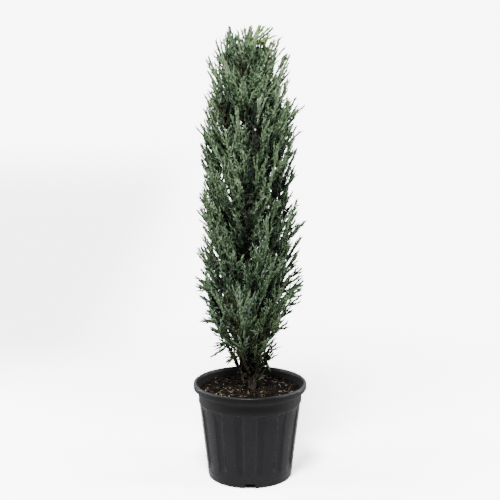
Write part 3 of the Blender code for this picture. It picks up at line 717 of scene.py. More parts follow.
def pot_profile():
    """The pot's section, up its outside, over its lip and down its inside."""
    band, lip_bottom, lip_round, skirt = POT_BAND_RADIUS, POT_HEIGHT - POT_LIP_DEPTH, 0.0026, 0.0011
    outer = [(0.0, 0.0), (0.03, 0.0), (0.06, 0.0)]
    outer += arc(wall(POT_FOOT_CORNER) - POT_FOOT_CORNER, POT_FOOT_CORNER, POT_FOOT_CORNER, -90, 0, 6)
    outer += [(wall(z), z) for z in np.linspace(0.006, POT_LEDGE_Z - 0.0008, 3)]
    outer += [(wall(POT_LEDGE_Z) + POT_LEDGE_STEP * share, POT_LEDGE_Z + up)
              for share, up in ((0.5, 0.0), (0.6, 0.0006), (0.0, 0.0026))]
    outer += [(wall(z), z) for z in np.linspace(POT_FLUTE_BOTTOM, POT_FLUTE_TOP + 0.0006, 26)]
    outer += [(wall(POT_BAND_BOTTOM) + 0.0002, POT_BAND_BOTTOM + 0.0001),
              (band - 0.0005, POT_BAND_BOTTOM + 0.0006), (band, POT_BAND_BOTTOM + 0.0014)]
    outer += [(band + out, POT_HEIGHT - down)
              for out, down in ((0.0002, 0.031), (0.0002, 0.023), (0.0006, 0.0185), (0.0022, 0.0148))]
    outer += [(band + 0.0050, lip_bottom + 0.0012), (POT_LIP_RADIUS - skirt - 0.0016, lip_bottom + 0.0006)]
    outer += arc(POT_LIP_RADIUS - skirt - 0.0002, lip_bottom + skirt, skirt, -90, 0, 4)
    outer += [(POT_LIP_RADIUS, lip_bottom + 0.0048)]
    outer += arc(POT_LIP_RADIUS - lip_round, POT_HEIGHT - lip_round, lip_round, 0, 90, 7)
    inner_edge, inner_round = POT_LIP_RADIUS - POT_LIP_WIDTH, lip_round * 0.7
    outer += arc(inner_edge + inner_round, POT_HEIGHT - inner_round, inner_round, 90, 180, 5)
    thick = POT_WALL + POT_FLUTE_DEPTH
    return outer + [
        (inner_edge - 0.0004, POT_HEIGHT - 0.006), (band - POT_WALL + 0.0015, POT_HEIGHT - 0.015),
        (band - POT_WALL, POT_HEIGHT - 0.021), (band - POT_WALL, POT_BAND_BOTTOM + 0.002),
        (wall(0.12) - thick, 0.12), (wall(0.004) - thick - 0.003, 0.0035),
        (0.05, POT_WALL), (0.0, POT_WALL),
    ]


def press_flutes(bm):
    """Presses the rounded grooves into the outside of the wall, a rib facing the front."""
    for vert in bm.verts:
        x, y, z = vert.co
        radius = math.hypot(x, y)
        outside = radius > POT_FOOT_RADIUS + 0.1 * z - POT_WALL
        if not outside or not POT_FLUTE_BOTTOM < z < POT_FLUTE_TOP:
            continue
        turn = (math.atan2(x, -y) / math.tau * POT_FLUTES) % 1.0
        groove = 1.0 - smooth_step(abs(turn - 0.5), 0.13, 0.25)
        rise = smooth_step(z, POT_FLUTE_BOTTOM, POT_FLUTE_BOTTOM + 0.016)
        shoulder = 1.0 - smooth_step(z, POT_FLUTE_TOP - 0.0045, POT_FLUTE_TOP)
        depth = POT_FLUTE_PRESS * groove * rise * shoulder
        vert.co = Vector((x * (1 - depth / radius), y * (1 - depth / radius), z))


def make_pot(material):
    bm = spun(pot_profile(), POT_STEPS)
    press_flutes(bm)
    pot = piece("ribbed_pot", mesh_from(bm), material, "pot_plastic", "pot")
    cutters = []
    for drain in range(DRAINS):
        bm = bmesh.new()
        bmesh.ops.create_cube(bm, size=1.0)
        bmesh.ops.scale(bm, vec=(DRAIN_WIDTH, 3.2 * DRAIN_REACH, 2 * DRAIN_HEIGHT), verts=bm.verts)
        ahead = [edge for edge in bm.edges if abs(edge.verts[0].co.y - edge.verts[1].co.y) > 0.01]
        bmesh.ops.bevel(bm, geom=ahead, offset=DRAIN_CORNER, segments=3, profile=0.5, affect="EDGES",
                        material=-1)
        bmesh.ops.translate(bm, vec=(0, -POT_FOOT_RADIUS - DRAIN_REACH / 2, 0), verts=bm.verts)
        bmesh.ops.rotate(bm, cent=(0, 0, 0), matrix=Matrix.Rotation(math.tau * drain / DRAINS, 3, "Z"),
                         verts=bm.verts)
        cutters.append(put(f"drain_{drain}", mesh_from(bm)))
        cut = pot.modifiers.new("drain", "BOOLEAN")
        cut.operation, cut.object = "DIFFERENCE", cutters[-1]
    applied(pot)
    for cutter in cutters:
        bpy.data.objects.remove(cutter, do_unlink=True)
    shade_by_angle(pot.data, 32)


# Soil


def soil_height(x, y):
    """The height of the soil's top with its crumbs, which rises a little to the back."""
    lumps = sum(noise.noise(Vector((x * scale, y * scale, layer))) * rise
                for scale, layer, rise in SOIL_LUMPS)
    edge = smooth_step(math.hypot(x, y), *SOIL_EDGE)
    return SOIL_Z + SOIL_LIFT + lumps + y * SOIL_SLOPE - edge * SOIL_EDGE_DROP


def make_soil(material):
    inner = POT_WALL + POT_FLUTE_DEPTH + 0.0006
    profile = [(0.0, 0.0110), (wall(0) - inner - 0.004, 0.0110), (wall(0) - inner + 0.0005, 0.014),
               (wall(0.148) - inner, 0.148), (SOIL_RADIUS - 0.001, 0.158)]
    profile += [(radius, SOIL_Z) for radius in np.linspace(SOIL_RADIUS, 0.0, 58)]
    bm = spun(profile, 200)
    for vert in bm.verts:
        if vert.co.z > SOIL_Z - 0.0001:
            vert.co.z = soil_height(vert.co.x, vert.co.y)
    piece("soil_surface", mesh_from(bm), material, "potting_soil", "soil")


def spot_on_soil(rng, radius):
    """A random bearing and radius, as a place on the soil."""
    bearing, away = rng.uniform(0, math.tau), radius * math.sqrt(rng.random())
    return away * math.cos(bearing), away * math.sin(bearing)


def bit_arrays(rng, count, sizes, flat, lift, drifts=-1.0, clear=0.013):
    """Small angular bits lying on the soil, in drifts: a six-cornered shape each, squeezed and
    turned."""
    corners = np.array([(1, 0, 0), (-1, 0, 0), (0, 1, 0), (0, -1, 0), (0, 0, 1), (0, 0, -1.0)])
    faces = np.array([(0, 2, 4), (2, 1, 4), (1, 3, 4), (3, 0, 4),
                      (2, 0, 5), (1, 2, 5), (3, 1, 5), (0, 3, 5)])
    lots = []
    while len(lots) < count:
        x, y = spot_on_soil(rng, SOIL_RADIUS - 0.004)
        drift = noise.noise(Vector((x * 34, y * 34, 5.5)))
        if math.dist((x, y), TRUNK_FOOT_AT) < clear or drift < drifts:
            continue
        size = rng.uniform(*sizes)
        shape = corners * [rng.uniform(*extent) * size for extent in flat]
        shape += np.array([[rng.uniform(-0.2, 0.2) * size for _ in range(3)] for _ in corners])
        turn = (Matrix.Rotation(rng.uniform(0, math.tau), 3, "Z")
                @ Matrix.Rotation(rng.gauss(0, 0.35), 3, "X") @ Matrix.Rotation(rng.gauss(0, 0.35), 3, "Y"))
        lots.append((shape @ np.array(turn).T + [x, y, soil_height(x, y) + lift * size], faces))
    return stacked(lots)


def make_bits(rng, chip, crumb, pale, root):
    """Bark chips, peat crumbs, pale grit and root fibres, one fibre of them long and in front."""
    for name, material, *way in (
        ("bark_chips", chip, 80, (0.0011, 0.0038), ((0.8, 1.6), (0.3, 0.5), (0.18, 0.34)), 0.10, 0.06),
        ("peat_crumbs", crumb, 700, (0.0016, 0.0044), ((0.7, 1.2), (0.4, 0.8), (0.3, 0.55)), 0.10),
        ("pale_grit", pale, 66, (0.0008, 0.0021), ((0.8, 1.6), (0.5, 0.9), (0.4, 0.8)), 0.30, -0.12),
    ):
        piece(name, joined_mesh(*bit_arrays(rng, *way)), material, "potting_soil", smooth=False)
    routes = [[(-0.037, -0.070), (-0.025, -0.074), (-0.012, -0.083), (-0.004, -0.090)]]
    for _ in range(64):
        x, y = spot_on_soil(rng, 0.085)
        way, step = rng.uniform(0, math.tau), rng.uniform(0.0016, 0.0054)
        route = [(x, y)]
        for _ in range(3):
            way += rng.gauss(0, 0.5)
            x, y = x + step * math.cos(way), y + step * math.sin(way)
            route.append((x, y))
        if all(math.hypot(x, y) < 0.092 for x, y in route):
            routes.append(route)
    fibres = []
    for number, route in enumerate(routes):
        count, thick = (7, rng.uniform(0.00025, 0.00060)) if number else (28, 0.00055)
        path = smooth_path([(x, y, soil_height(x, y) + thick * 1.4) for x, y in route], count)
        fibres.append(cord_arrays(path[None], np.linspace(thick, thick * 0.5, count - 1)[None], sides=5))
    piece("root_fibres", joined_mesh(*stacked(fibres)), root, "potting_soil")


# Wood


def limb_mesh(path, radii, sides):
    """A closed limb along a path: one ring carried along it and closed at both ends."""
    ways = unit(np.gradient(path, axis=0))
    first = unit(np.cross(ways[0], [0.0, 1.0, 0.3]))
    bm = bmesh.new()
    bmesh.ops.create_circle(bm, segments=sides, radius=1.0)
    ring = list(bm.edges)
    turns = {vert: math.atan2(vert.co.y, vert.co.x) for vert in bm.verts}
    bmesh.ops.contextual_create(bm, geom=ring)
    for number, (place, way, radius) in enumerate(zip(path, ways, radii)):
        if number:
            grown = bmesh.ops.extrude_edge_only(bm, edges=ring)["geom"]
            pairs = {}
            for vert in [item for item in grown if isinstance(item, bmesh.types.BMVert)]:
                for edge in vert.link_edges:
                    other = edge.other_vert(vert)
                    if other in turns:
                        pairs[vert] = turns[other]
            turns = pairs
            ring = [item for item in grown if isinstance(item, bmesh.types.BMEdge)
                    and item.verts[0] in turns and item.verts[1] in turns]
        first = unit(first - way * (first @ way))
        second = np.cross(way, first)
        for vert, turn in turns.items():
            vert.co = Vector(place + radius * leant(first, second, turn))
    bmesh.ops.contextual_create(bm, geom=ring)
    bmesh.ops.recalc_face_normals(bm, faces=bm.faces)
    return bm


def bark_relief(bm, depth):
    """Lifts and sinks the bark along its fibres."""
    bm.normal_update()
    moves = []
    for vert in bm.verts:
        x, y, z = vert.co
        ridges = noise.noise(Vector((x * 620, y * 620, z * 60)))
        plates = noise.noise(Vector((x * 210, y * 210, z * 110 + 9)))
        moves.append(vert.normal * depth * (0.62 * ridges + 0.55 * plates))
    for vert, move in zip(bm.verts, moves):
        vert.co += move


def make_wood(trunk, plan, material):
    """Trunk and boughs as one body of bark, joined where they meet."""
    spacing, foot = 0.0020, TRUNK_FOOT_Z - 0.0012
    path = resampled(trunk, spacing)
    path = path[path[:, 2] > TRUNK_FOOT_Z - 0.0045]
    bm = limb_mesh(path, trunk_radius(path[:, 2]), 22)
    bmesh.ops.bisect_plane(bm, geom=bm.verts[:] + bm.edges[:] + bm.faces[:], dist=1e-6,
                           plane_co=(0, 0, foot), plane_no=(0, 0, -1), clear_outer=True)
    bmesh.ops.holes_fill(bm, edges=[edge for edge in bm.edges if edge.is_boundary], sides=0)
    wood = put("wood", mesh_from(bm))
    boughs = bpy.data.collections.new("boughs")
    bpy.context.scene.collection.children.link(boughs)
    with_bough = [limb for limb in plan if "bough" in limb]
    for limb in with_bough:
        path = resampled(limb["bough"], spacing)
        radii = np.linspace(*limb["bough_radii"], len(path))
        radii = radii + radii[0] * 0.7 * np.exp(-np.arange(len(path)) * spacing / 0.004)
        boughs.objects.link(bpy.data.objects.new(limb["name"], mesh_from(limb_mesh(path, radii, 14))))
    join = wood.modifiers.new("join", "BOOLEAN")
    join.operation, join.operand_type, join.collection = "UNION", "COLLECTION", boughs
    applied(wood)
    for bough in list(boughs.objects):
        bpy.data.objects.remove(bough, do_unlink=True)
    bpy.data.collections.remove(boughs)
    bm = bmesh.new()
    bm.from_mesh(wood.data)
    bpy.data.objects.remove(wood, do_unlink=True)
    bmesh.ops.triangulate(bm, faces=bm.faces)
    bark_relief(bm, 0.00045)
    nodes = ["trunk"] + ["bough_" + limb["name"] for limb in with_bough]
    piece("bark_limbs", mesh_from(bm), material, "bark", *nodes)


# Foliage


def turned(ways, axes, angles):
    """Each way turned about its own axis by its own angle."""
    c, s = np.cos(angles)[:, None], np.sin(angles)[:, None]
    return ways * c + np.cross(axes, ways) * s + axes * (axes * ways).sum(-1, keepdims=True) * (1 - c)


def plume_axis(root, way, bow, length):
    share = np.array(AXIS_SHARES)[:, None]
    return root + way * length * share + bow * length * share**2


def along_axis(axis, share):
    """Places and ways at shares of an axis."""
    slope = np.gradient(axis, AXIS_SHARES, axis=0)
    places, ways = (np.stack([np.interp(share, AXIS_SHARES, line[:, k]) for k in range(3)], axis=1)
                    for line in (axis, slope))
    return places, unit(ways)


def tier_at(z):
    """The tier whose foliage is round a height."""
    return ("low" if z < 0.313 else "lower" if z < 0.433 else "middle" if z < 0.563
            else "upper" if z < 0.703 else "high")


def tinted(tier, *levels):
    return tuple(f"{tier}_{TINTS_OF_TIER[tier][level]}" for level in levels)


class Growth:
    """The foliage as it grows on the stems of the plan: its twigs, and its leaf cords, gathered by
    tint until they are joined into one mesh for each."""

    def __init__(self, trunk, plan):
        self.trunk, self.plan, self.reach = trunk, plan, Reach(plan)
        self.rng = np.random.default_rng(SEED)
        self.cords, self.twigs = {}, []

    def gather(self, tint, paths, radii):
        if len(paths):
            self.cords.setdefault((tint, paths.shape[1]), []).append((paths, radii))

    def mesh(self, tint):
        lots = [self.cords[tint, points] for points in CORD_POINTS if (tint, points) in self.cords]
        return joined_mesh(*stacked([cord_arrays(*map(np.vstack, zip(*lot))) for lot in lots]))

    def plume(self, tints, axis, flat, width, own=None, slack=CROWN_SLACK, stout=1.0):
        """One feathery plume: its axis, cords to both sides of it, and finer cords along those.
        tints are the two that its older and its younger half are dealt to."""
        rng, reach = self.rng, self.reach
        radii = np.interp(AXIS_SHARES[:-1], (0, 1), (AXIS_RADIUS, FINE_RADIUS)) * stout
        self.gather(tints[0], axis[None], radii[None])
        count = max(4, round(0.9 * path_length(axis) / CORD_SPACING))
        share = 0.06 + 0.91 * (np.arange(count) + rng.uniform(0.2, 0.8, count)) / count
        places, ways = along_axis(axis, share)
        sides = np.where(np.arange(count) % 2 == 0, 1.0, -1.0)[:, None]
        across = unit(flat - ways * (ways @ flat)[:, None]) * sides
        across = turned(across, ways, rng.normal(0, 0.75, count))
        swell = np.clip((share + 0.06) / 0.24, 0.3, 1) * (1 - 0.72 * share)
        reach_out = width * swell * rng.uniform(0.8, 1.25, count) + 0.0028
        lean = np.radians(np.interp(share, (0, 1), CORD_LEAN) + rng.normal(0, 5, count))
        out, onward = (unit(ways * np.cos(turn)[:, None] + across * np.sin(turn)[:, None])
                       for turn in (lean, lean * 0.5))
        middle = places + out * (reach_out * CORD_KNEE)[:, None]
        tips = middle + onward * (reach_out * CORD_TIP)[:, None]
        held = (reach.crown_room(tips, slack) > 0) & (reach.side_room(tips, own) > -NEIGHBOUR_OVERLAP)
        young = share + rng.normal(0, 0.22, count) > 0.42
        thick = CORD_RADIUS * stout * rng.uniform(0.88, 1.12, (count, 1)) * [1.0, 0.92]
        paths = np.stack([places, middle, tips], axis=1)
        for tint, chosen in ((tints[0], held & ~young), (tints[1], held & young)):
            self.gather(tint, paths[chosen], thick[chosen])
        fine = {tint: [] for tint in tints}
        side = 1.0
        normal = unit(np.cross(out, across))
        for number in np.flatnonzero(held):
            span = reach_out[number]
            buds = round(span / FINE_SPACING)
            for bud in range(buds):
                along = (bud + rng.uniform(0.4, 1.0)) / (buds + 0.5)
                if along > LAST_BUD:
                    continue
                if along < CORD_KNEE:
                    way, place = out[number], places[number] + out[number] * span * along
                else:
                    way = onward[number]
                    place = middle[number] + way * span * (along - CORD_KNEE)
                sideways = np.cross(normal[number], way) * side
                sideways = unit(leant(sideways, normal[number], rng.normal(0, 0.8)))
                side = -side
                bud_way = leant(way, sideways, math.radians(rng.uniform(*FINE_LEAN)))
                short = FINE_LENGTH * (1.15 - 0.50 * along) * rng.uniform(0.7, 1.3)
                fine[tints[1] if young[number] else tints[0]].append((place, place + bud_way * short))
        for tint, paths in fine.items():
            if paths:
                paths = np.array(paths)
                paths = paths[reach.crown_room(paths[:, 1], slack) > -0.001]
                self.gather(tint, paths, np.full((len(paths), 1), FINE_RADIUS))

    def fitted_axis(self, own, root, way, bow, length):
        """The longest plume axis from root that keeps to the reach, or None."""
        for size in SIZES_TRIED:
            axis = plume_axis(root, way, bow, length * size)
            tested = axis[2:]
            if ((self.reach.crown_room(tested) > 0).all()
                    and (self.reach.side_room(tested, own) > -NEIGHBOUR_OVERLAP / 2).all()):
                return axis, size
        return None, 0.0

    def dealt_tints(self, tier, place, mood):
        """The tints of a plume's older and younger half, by its tier, how far out it stands, the inner
        ones darker as painted shade, its mass's own mood and chance."""
        x, y, z = place
        out = math.hypot(x - CROWN_AXIS_X, y) / max(LEAST_RADIUS, crown_radius(z))
        low_glow = LOW_GLOW * max(0.0, 1 - abs(z - LOW_GLOW_Z) / LOW_GLOW_SPREAD)
        score = INNER_SHADE_WEIGHT * out + low_glow + MOOD_WEIGHT * mood + self.rng.uniform(0, CHANCE)
        score -= max(0.0, z - TOP_SHADE_Z) * TOP_SHADE
        level = sum(score >= step for step in TINT_STEPS)
        if tier == "high" and (z < SPRING_Z or x < 0.0):
            level = min(level, 2)
        older = max(0, level - (1 if self.rng.random() < 0.6 else 2))
        return tinted(tier, older, level)

    def twig(self, tier, own, place, along, radial, lean, span, mood, plumes, size):
        """A twig and the plumes that stand along it."""
        rng = self.rng
        way = unit(leant(along, radial, lean))
        for share in SIZES_TRIED:
            end = place + way * span * share
            if (self.reach.side_room(end[None], own)[0] > 0
                    and self.reach.crown_room(end[None])[0] > TWIG_ROOM):
                break
        else:
            return
        sag = np.array([0, 0, 0.05 * span])
        self.twigs.append((np.array([place, (place + end) / 2 - sag, end]), TWIG_RADIUS))
        upward = unit(way + along * PLUME_FOLLOW + np.array([0, 0, PLUME_RISE]))
        tangent = unit(np.cross(upward, radial))
        for spot, degrees, share in plumes:
            swing = math.radians(degrees + rng.normal(0, 7))
            aside = unit(leant(upward, tangent, swing) + radial * rng.normal(0, 0.10))
            bow = UP * PLUME_BOW * rng.uniform(-0.1, 1.0) + radial * PLUME_BOW * rng.uniform(-0.5, 0.8)
            axis, fitted = self.fitted_axis(own, place + (end - place) * spot, aside, bow, size * share)
            if axis is None:
                continue
            ridge, hollow = self.reach.relief(axis[3])
            if rng.random() < hollow * HOLLOW_THINNING:
                continue
            outside = np.array([axis[2, 0] - CROWN_AXIS_X, axis[2, 1], 0.0])
            flat = unit(np.cross(aside, outside) + rng.normal(0, 0.012, 3))
            # Plumes on ridges are dealt paler tints as painted light, those in hollows darker ones as
            # painted shade
            tints = self.dealt_tints(tier, axis[3], mood + RIDGE_GLOW * ridge - HOLLOW_SHADE * hollow)
            self.plume(tints, axis, flat, PLUME_WIDTH * (0.5 + 0.5 * share * fitted), own)

    def mass(self, own, limb):
        """Twigs up the stem, fanned to its outer side by the golden share, with plumes along each."""
        rng = self.rng
        path = smooth_path(limb["stem"], PATH_STEPS + 1)
        count = max(FEWEST_TWIGS, round(TWIGS_PER_METRE * path_length(path)))
        first, last = TWIG_SPAN
        turn, mood = rng.random(), rng.random()
        for number in range(count):
            share = first + (last - first) * (number + 0.5) / count
            step = max(1, round(share * PATH_STEPS))
            along = unit(path[min(step + 1, PATH_STEPS)] - path[step - 1])
            outward = math.atan2(path[step][1], path[step][0] - CROWN_AXIS_X)
            turn = (turn + GOLDEN_SHARE) % 1.0
            radial = level_way(outward + math.radians(TWIG_FAN) * (2 * turn - 1))
            lean = math.radians(np.interp(share, (0, 1), TWIG_LEAN))
            span = np.interp(share, (0, 1), TWIG_LENGTH) * rng.uniform(0.7, 1.2)
            self.twig(limb["tier"], own, path[step], along, radial, lean, span, mood, PLUMES, PLUME_LENGTH)
        tip_way = unit(path[-1] - path[-4])
        axis, _ = self.fitted_axis(own, path[-1], tip_way, np.zeros(3), PLUME_LENGTH)
        if axis is not None:
            flat = unit(np.cross(tip_way, [path[-1, 0], path[-1, 1], 0.02]))
            self.plume(self.dealt_tints(limb["tier"], axis[3], mood), axis, flat, PLUME_WIDTH, own)

    def inner(self):
        """Short twigs up the trunk itself, whose plumes, dealt darker tints as painted shade, close the
        crown's middle.
        """
        rng = self.rng
        first, last = INNER_SPAN
        turn = 0.0
        for number in range(INNER_TWIGS):
            z = first + (last - first) * (number + rng.uniform(0.1, 0.9)) / INNER_TWIGS
            turn = (turn + GOLDEN_SHARE) % 1.0
            if 0.25 < z < 0.36 and number % 3 == 0:
                continue
            size = INNER_PLUME * np.interp(z, (0.2, 0.26), (0.45, 1.0))
            length = INNER_TWIG_LENGTH * rng.uniform(0.5, 1.5) * np.interp(z, (0.2, 0.32), (0.5, 1.0))
            lean = math.radians(rng.uniform(*INNER_LEAN))
            self.twig(tier_at(z), None, on_trunk(self.trunk, z), UP, level_way(math.tau * turn), lean,
                      length, 0.0, INNER_PLUMES, size)

    def foot(self):
        """The bare shoots that fork from the trunk just above the soil, with a few dry sprays."""
        rng = self.rng
        for bearing, lean, length, radius in FOOT_SHOOTS:
            turn = math.radians(bearing)
            radial = np.array([math.sin(turn), -math.cos(turn), 0.0])
            root = self.trunk[0] + radial * 0.0022 + [0, 0, rng.uniform(0.003, 0.007)]
            way = leant(UP, radial, math.radians(lean))
            end = root + unit(way + UP * 0.25) * length
            self.twigs.append((np.array([root, root + way * length * 0.5, end]), radius))
            for spot, tint in zip((0.55, 0.75, 0.9, 1.0), (*LOW_TINTS, "low_shade")):
                side = unit(way + rng.normal(0, 0.30, 3) + UP * 0.3)
                axis = plume_axis(root + (end - root) * spot, side, UP * 0.1, rng.uniform(0.020, 0.034))
                flat = unit(np.cross(side, rng.normal(0, 1, 3)))
                self.plume((tint, tint), axis, flat, 0.0075)

    def low(self):
        """Dark and dry little sprays that close the foot of the crown, a few of them hanging."""
        rng = self.rng
        boughs = [limb["bough"] for limb in self.plan if limb["tier"] == "low"]
        for number in range(LOW_SPRAYS):
            if number % 3:
                root = smooth_path(boughs[number % len(boughs)], 20)[int(rng.integers(3, 20))]
            else:
                root = on_trunk(self.trunk, rng.uniform(0.193, 0.253))
            bearing = math.atan2(root[1] - 0.011, root[0] - 0.001) + rng.normal(0, 1.0)
            lean, length = math.radians(rng.uniform(4, 52)), rng.uniform(0.026, 0.046)
            if number % 9 == 4:
                lean, length = math.radians(rng.uniform(95, 130)), 0.022
            way = leant(UP, level_way(bearing), lean)
            axis = plume_axis(root, way, UP * rng.uniform(0, 0.2), length)
            if axis[:, 2].min() < 0.1925:
                continue
            flat = unit(np.cross(way, rng.normal(0, 1, 3)))
            self.plume((LOW_TINTS[number % 3],) * 2, axis, flat, 0.0085)

    def spear(self, tip, way, length, tints, stout=SPEAR_STOUT):
        """A long narrow plume that ends at a given tip, on a twig from the nearest stem, and its
        two offshoots."""
        rng = self.rng
        root = tip - way * length
        stems = np.vstack([smooth_path(limb["stem"], 25) for limb in self.plan])
        below = stems[stems[:, 2] < root[2] + 0.004]
        nearest = below if len(below) else stems
        start = nearest[np.argmin(np.linalg.norm(nearest - root, axis=1))]
        gap = np.linalg.norm(start - root)
        if gap > 0.004:
            middle = (start + root) / 2 + UP * -0.08 * gap
            self.twigs.append((np.array([start, middle, root]), TWIG_RADIUS))
        outside = unit([root[0] - CROWN_AXIS_X, root[1], 0.0])
        side = unit(np.cross(way, outside) + rng.normal(0, 0.4, 3))
        bow = UP * rng.uniform(-0.02, 0.08) + side * rng.normal(0, 0.03)
        axis = plume_axis(root, unit(way - bow), bow, length)
        axis += (tip - axis[-1]) * np.array(AXIS_SHARES)[:, None]
        self.plume(tints, axis, side, SPEAR_WIDTH * rng.uniform(0.8, 1.3), None, SPEAR_SLACK, stout)
        for along, degrees, share in OFFSHOOTS:
            place, onward = along_axis(axis, np.array([along]))
            aside = unit(leant(onward[0], side, math.radians(degrees * rng.uniform(0.8, 1.2))))
            size = length * share * rng.uniform(0.85, 1.15)
            shoot = plume_axis(place[0], aside, onward[0] * 0.12, size)
            if (self.reach.crown_room(shoot[3:], SPEAR_SLACK) > 0).all():
                self.plume(tints, shoot, side, SPEAR_WIDTH * 0.75, None, SPEAR_SLACK)

    def spears(self):
        """The tips that make the crown's outline ragged: those of its two sides as they are, and
        the rest spread round it."""
        rng = self.rng
        for x, z, lean, length in SIDE_TIPS:
            turn = math.radians(lean)
            way = unit(np.array([math.sin(turn), rng.uniform(-0.10, 0.05), math.cos(turn)]))
            topmost = z > 0.84 and x > 0.01
            tints = ("high_spring",) * 2 if topmost else tinted(tier_at(z - 0.03), 1, 2)
            tip = np.array([x, rng.uniform(-0.022, 0.012), z])
            self.spear(tip, way, length, tints, SIDE_TIP_STOUT)
        turn = 0.0
        for number in range(SPEARS):
            z = np.interp((number + 0.5) / SPEARS, (0, 0.9, 1), (0.283, 0.803, 0.875))
            turn = (turn + GOLDEN_SHARE) % 1.0
            radial = level_way(math.tau * turn)
            tip = radial * (crown_radius(z) * rng.uniform(0.86, 1.03)) + [CROWN_AXIS_X, 0, z]
            if rng.random() < self.reach.relief(tip - [0, 0, 0.03])[1] * HOLLOW_THINNING:
                continue
            lean = math.radians(rng.uniform(14, 38) + max(0.0, 0.40 - z) * 130)
            length = SPEAR_LENGTH * rng.uniform(0.7, 1.2)
            tier = tier_at(z - 0.03)
            palest = 3 if tier == "high" else 4
            tints = tinted(tier, int(rng.integers(1, 3)), int(rng.integers(palest - 2, palest)))
            self.spear(tip, unit(leant(UP, radial, lean)), length, tints)


def make_foliage(trunk, plan):
    """Grows all of the foliage, joins it by tier and tint, and hands on its twigs."""
    growth = Growth(trunk, plan)
    for own, limb in enumerate(plan):
        growth.mass(own, limb)
    growth.inner()
    growth.foot()
    growth.low()
    growth.spears()
    materials = {name: leaf_material("leaf_" + name, colour) for name, colour in TINTS.items()}
    for tier, tints in TINTS_OF_TIER.items():
        nodes = ["foliage_" + limb["name"] for limb in plan if limb["tier"] == tier]
        for tint in tints:
            key = f"{tier}_{tint}"
            if (key, CORD_POINTS[1]) in growth.cords:
                piece("foliage_" + key, growth.mesh(key), materials[tint], "foliage", *nodes)
    return growth.twigs


def make_twigs(plan, twigs, material):
    parts = []
    for limb in plan:
        path = resampled(limb["stem"], 0.006)
        radii = np.linspace(*limb["stem_radii"], len(path) - 1)
        parts.append(cord_arrays(path[None], radii[None], sides=7))
    thick = np.array([[radius, radius * 0.9] for _, radius in twigs])
    parts.append(cord_arrays(np.array([path for path, _ in twigs]), thick, sides=5))
    piece("stems_and_twigs", joined_mesh(*stacked(parts)), material, "bark")


# Studio

BACKDROP, FLOOR_GAIN, FLOOR_RADIUS = 8.2, 4.8, 9.0
# Where a painted shadow dims the floor's far left: axis, where the dimming starts, where it is full
PAINTED_SHADOW_PATCH = (("X", -0.15, -0.60), ("X", -3.2, -1.6), ("Y", 6.5, 3.0), ("Y", 0.3, 1.1))
# Name, place, height aimed at, size, watts
SOFT_BOXES = (
    ("top_box", (-0.20, -1.05, 1.95), 0.48, (0.45, 0.45), 56),
    ("left_box", (-1.75, -0.30, 0.85), 0.35, (0.6, 1.2), 22),
    ("right_box", (1.75, -0.30, 0.85), 0.35, (0.6, 1.2), 22),
    ("left_strip", (-1.45, 0.62, 0.40), 0.20, (0.16, 1.0), 17),
    ("right_strip", (1.45, 0.62, 0.40), 0.20, (0.16, 1.0), 16),
)
CAMERA_PLACE, CAMERA_DOWN, CAMERA_LENS = (0.0, -2.362, 0.9205), 11.17, 90.0


def make_floor():
    """A round pale floor that fades into the surroundings."""
    bm = bmesh.new()
    bmesh.ops.create_circle(bm, cap_ends=True, segments=96, radius=FLOOR_RADIUS)
    floor = put("studio_floor", mesh_from(bm))
    material = bpy.data.materials.new("pale_floor")
    material.use_nodes = True
    tree = material.node_tree
    tree.nodes.remove(tree.nodes["Principled BSDF"])
    seen = add(tree, "LightPath", {})["Is Camera Ray"]
    place = add(tree, "TexCoord", {})["Object"]
    far = add(tree, "VectorMath", {0: place}, operation="LENGTH")["Value"]
    near = ranged(tree, far, 0.25, 0.75, 0.56, 0.20)
    tone = add(tree, "Mix", {0: seen, 2: near, 3: FLOOR_GAIN}, data_type="FLOAT")[0]
    paper = add(tree, "BsdfDiffuse", {"Color": tone})[0]
    across = split(tree, place)
    # A painted shadow dims the floor's glow at its far left
    painted_shadow = 1.0
    for axis, none, full in PAINTED_SHADOW_PATCH:
        painted_shadow = scaled(tree, ranged(tree, across[axis], none, full, kind="SMOOTHSTEP"), painted_shadow)
    glow = ranged(tree, painted_shadow, to_low=BACKDROP, to_high=BACKDROP * 0.6)
    beyond = add(tree, "Emission", {"Color": (1, 1, 1, 1), "Strength": glow})[0]
    fade = scaled(tree, ranged(tree, far, 0.35, 1.3, kind="SMOOTHSTEP"), seen)
    feed(tree, tree.nodes["Material Output"],
         {"Surface": add(tree, "MixShader", {0: fade, 1: paper, 2: beyond})[0]})
    floor.data.materials.append(material)


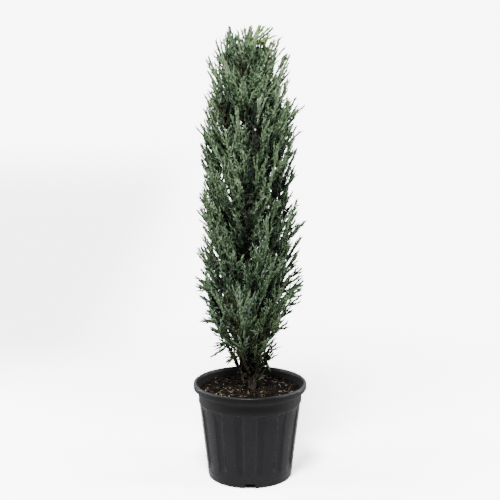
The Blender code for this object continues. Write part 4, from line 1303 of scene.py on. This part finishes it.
def make_surroundings():
    """An even backdrop behind the plant, and softer light from above and behind."""
    world = bpy.data.worlds.new("studio")
    bpy.context.scene.world = world
    world.use_nodes = True
    tree = world.node_tree
    rays = add(tree, "LightPath", {})
    way = split(tree, add(tree, "TexCoord", {})["Generated"])
    up = ranged(tree, way["Z"], -0.2, 1.0, 0.06, 0.20)
    back = ranged(tree, way["Y"], -1.0, 1.0, 0.35, 1.2)
    sheen = scaled(tree, ranged(tree, way["Y"], 0.2, 0.8, 0.0, 1.2), rays["Is Glossy Ray"])
    soft = maths(tree, "ADD", scaled(tree, up, back), sheen)
    strength = add(tree, "Mix", {0: rays["Is Camera Ray"], 2: soft, 3: BACKDROP}, data_type="FLOAT")[0]
    feed(tree, tree.nodes["Background"], {"Color": (1, 1, 1, 1), "Strength": strength})


def make_lights():
    for name, place, aim, size, watts in SOFT_BOXES:
        light = bpy.data.lights.new(name, "AREA")
        light.shape, light.size, light.size_y = "RECTANGLE", *size
        light.energy = watts
        thing = put(name, light)
        thing.location = place
        thing.rotation_euler = (Vector((0, 0, aim)) - Vector(place)).to_track_quat("-Z", "Y").to_euler()
        thing.visible_camera = False


def make_camera():
    lens = bpy.data.cameras.new("camera")
    lens.sensor_width, lens.lens = 36.0, CAMERA_LENS
    lens.clip_start, lens.clip_end = 0.05, 60.0
    camera = put("camera", lens)
    camera.location = CAMERA_PLACE
    camera.rotation_euler = (math.pi / 2 - math.radians(CAMERA_DOWN), 0.0, 0.0)
    bpy.context.scene.camera = camera


def main():
    trunk = smooth_path([(x, y, z) for z, x, y in TRUNK_GUIDE], TRUNK_RINGS)
    plan = plan_limbs(trunk)
    make_pot(pot_material())
    make_soil(soil_material())
    make_bits(
        random.Random(SEED),
        grit_material("brown_bark_chip", (0.052, 0.034, 0.020), (0.170, 0.116, 0.064), 0.9),
        grit_material("dark_peat_crumb", (0.007, 0.005, 0.0035), (0.034, 0.021, 0.012), 0.95),
        grit_material("pale_grit", (0.42, 0.38, 0.31), (0.62, 0.58, 0.50), 0.85),
        grit_material("dry_root", (0.30, 0.22, 0.14), (0.45, 0.36, 0.25), 0.8),
    )
    bark = bark_material("young_bark", (0.030, 0.018, 0.013), (0.100, 0.062, 0.045), (0.125, 0.104, 0.090),
                         900.0)
    shoot = bark_material("twig_bark", (0.055, 0.038, 0.020), (0.125, 0.086, 0.044), (0.085, 0.092, 0.048),
                          1300.0)
    make_wood(trunk, plan, bark)
    make_twigs(plan, make_foliage(trunk, plan), shoot)
    make_floor()
    make_surroundings()
    make_lights()
    make_camera()


main()
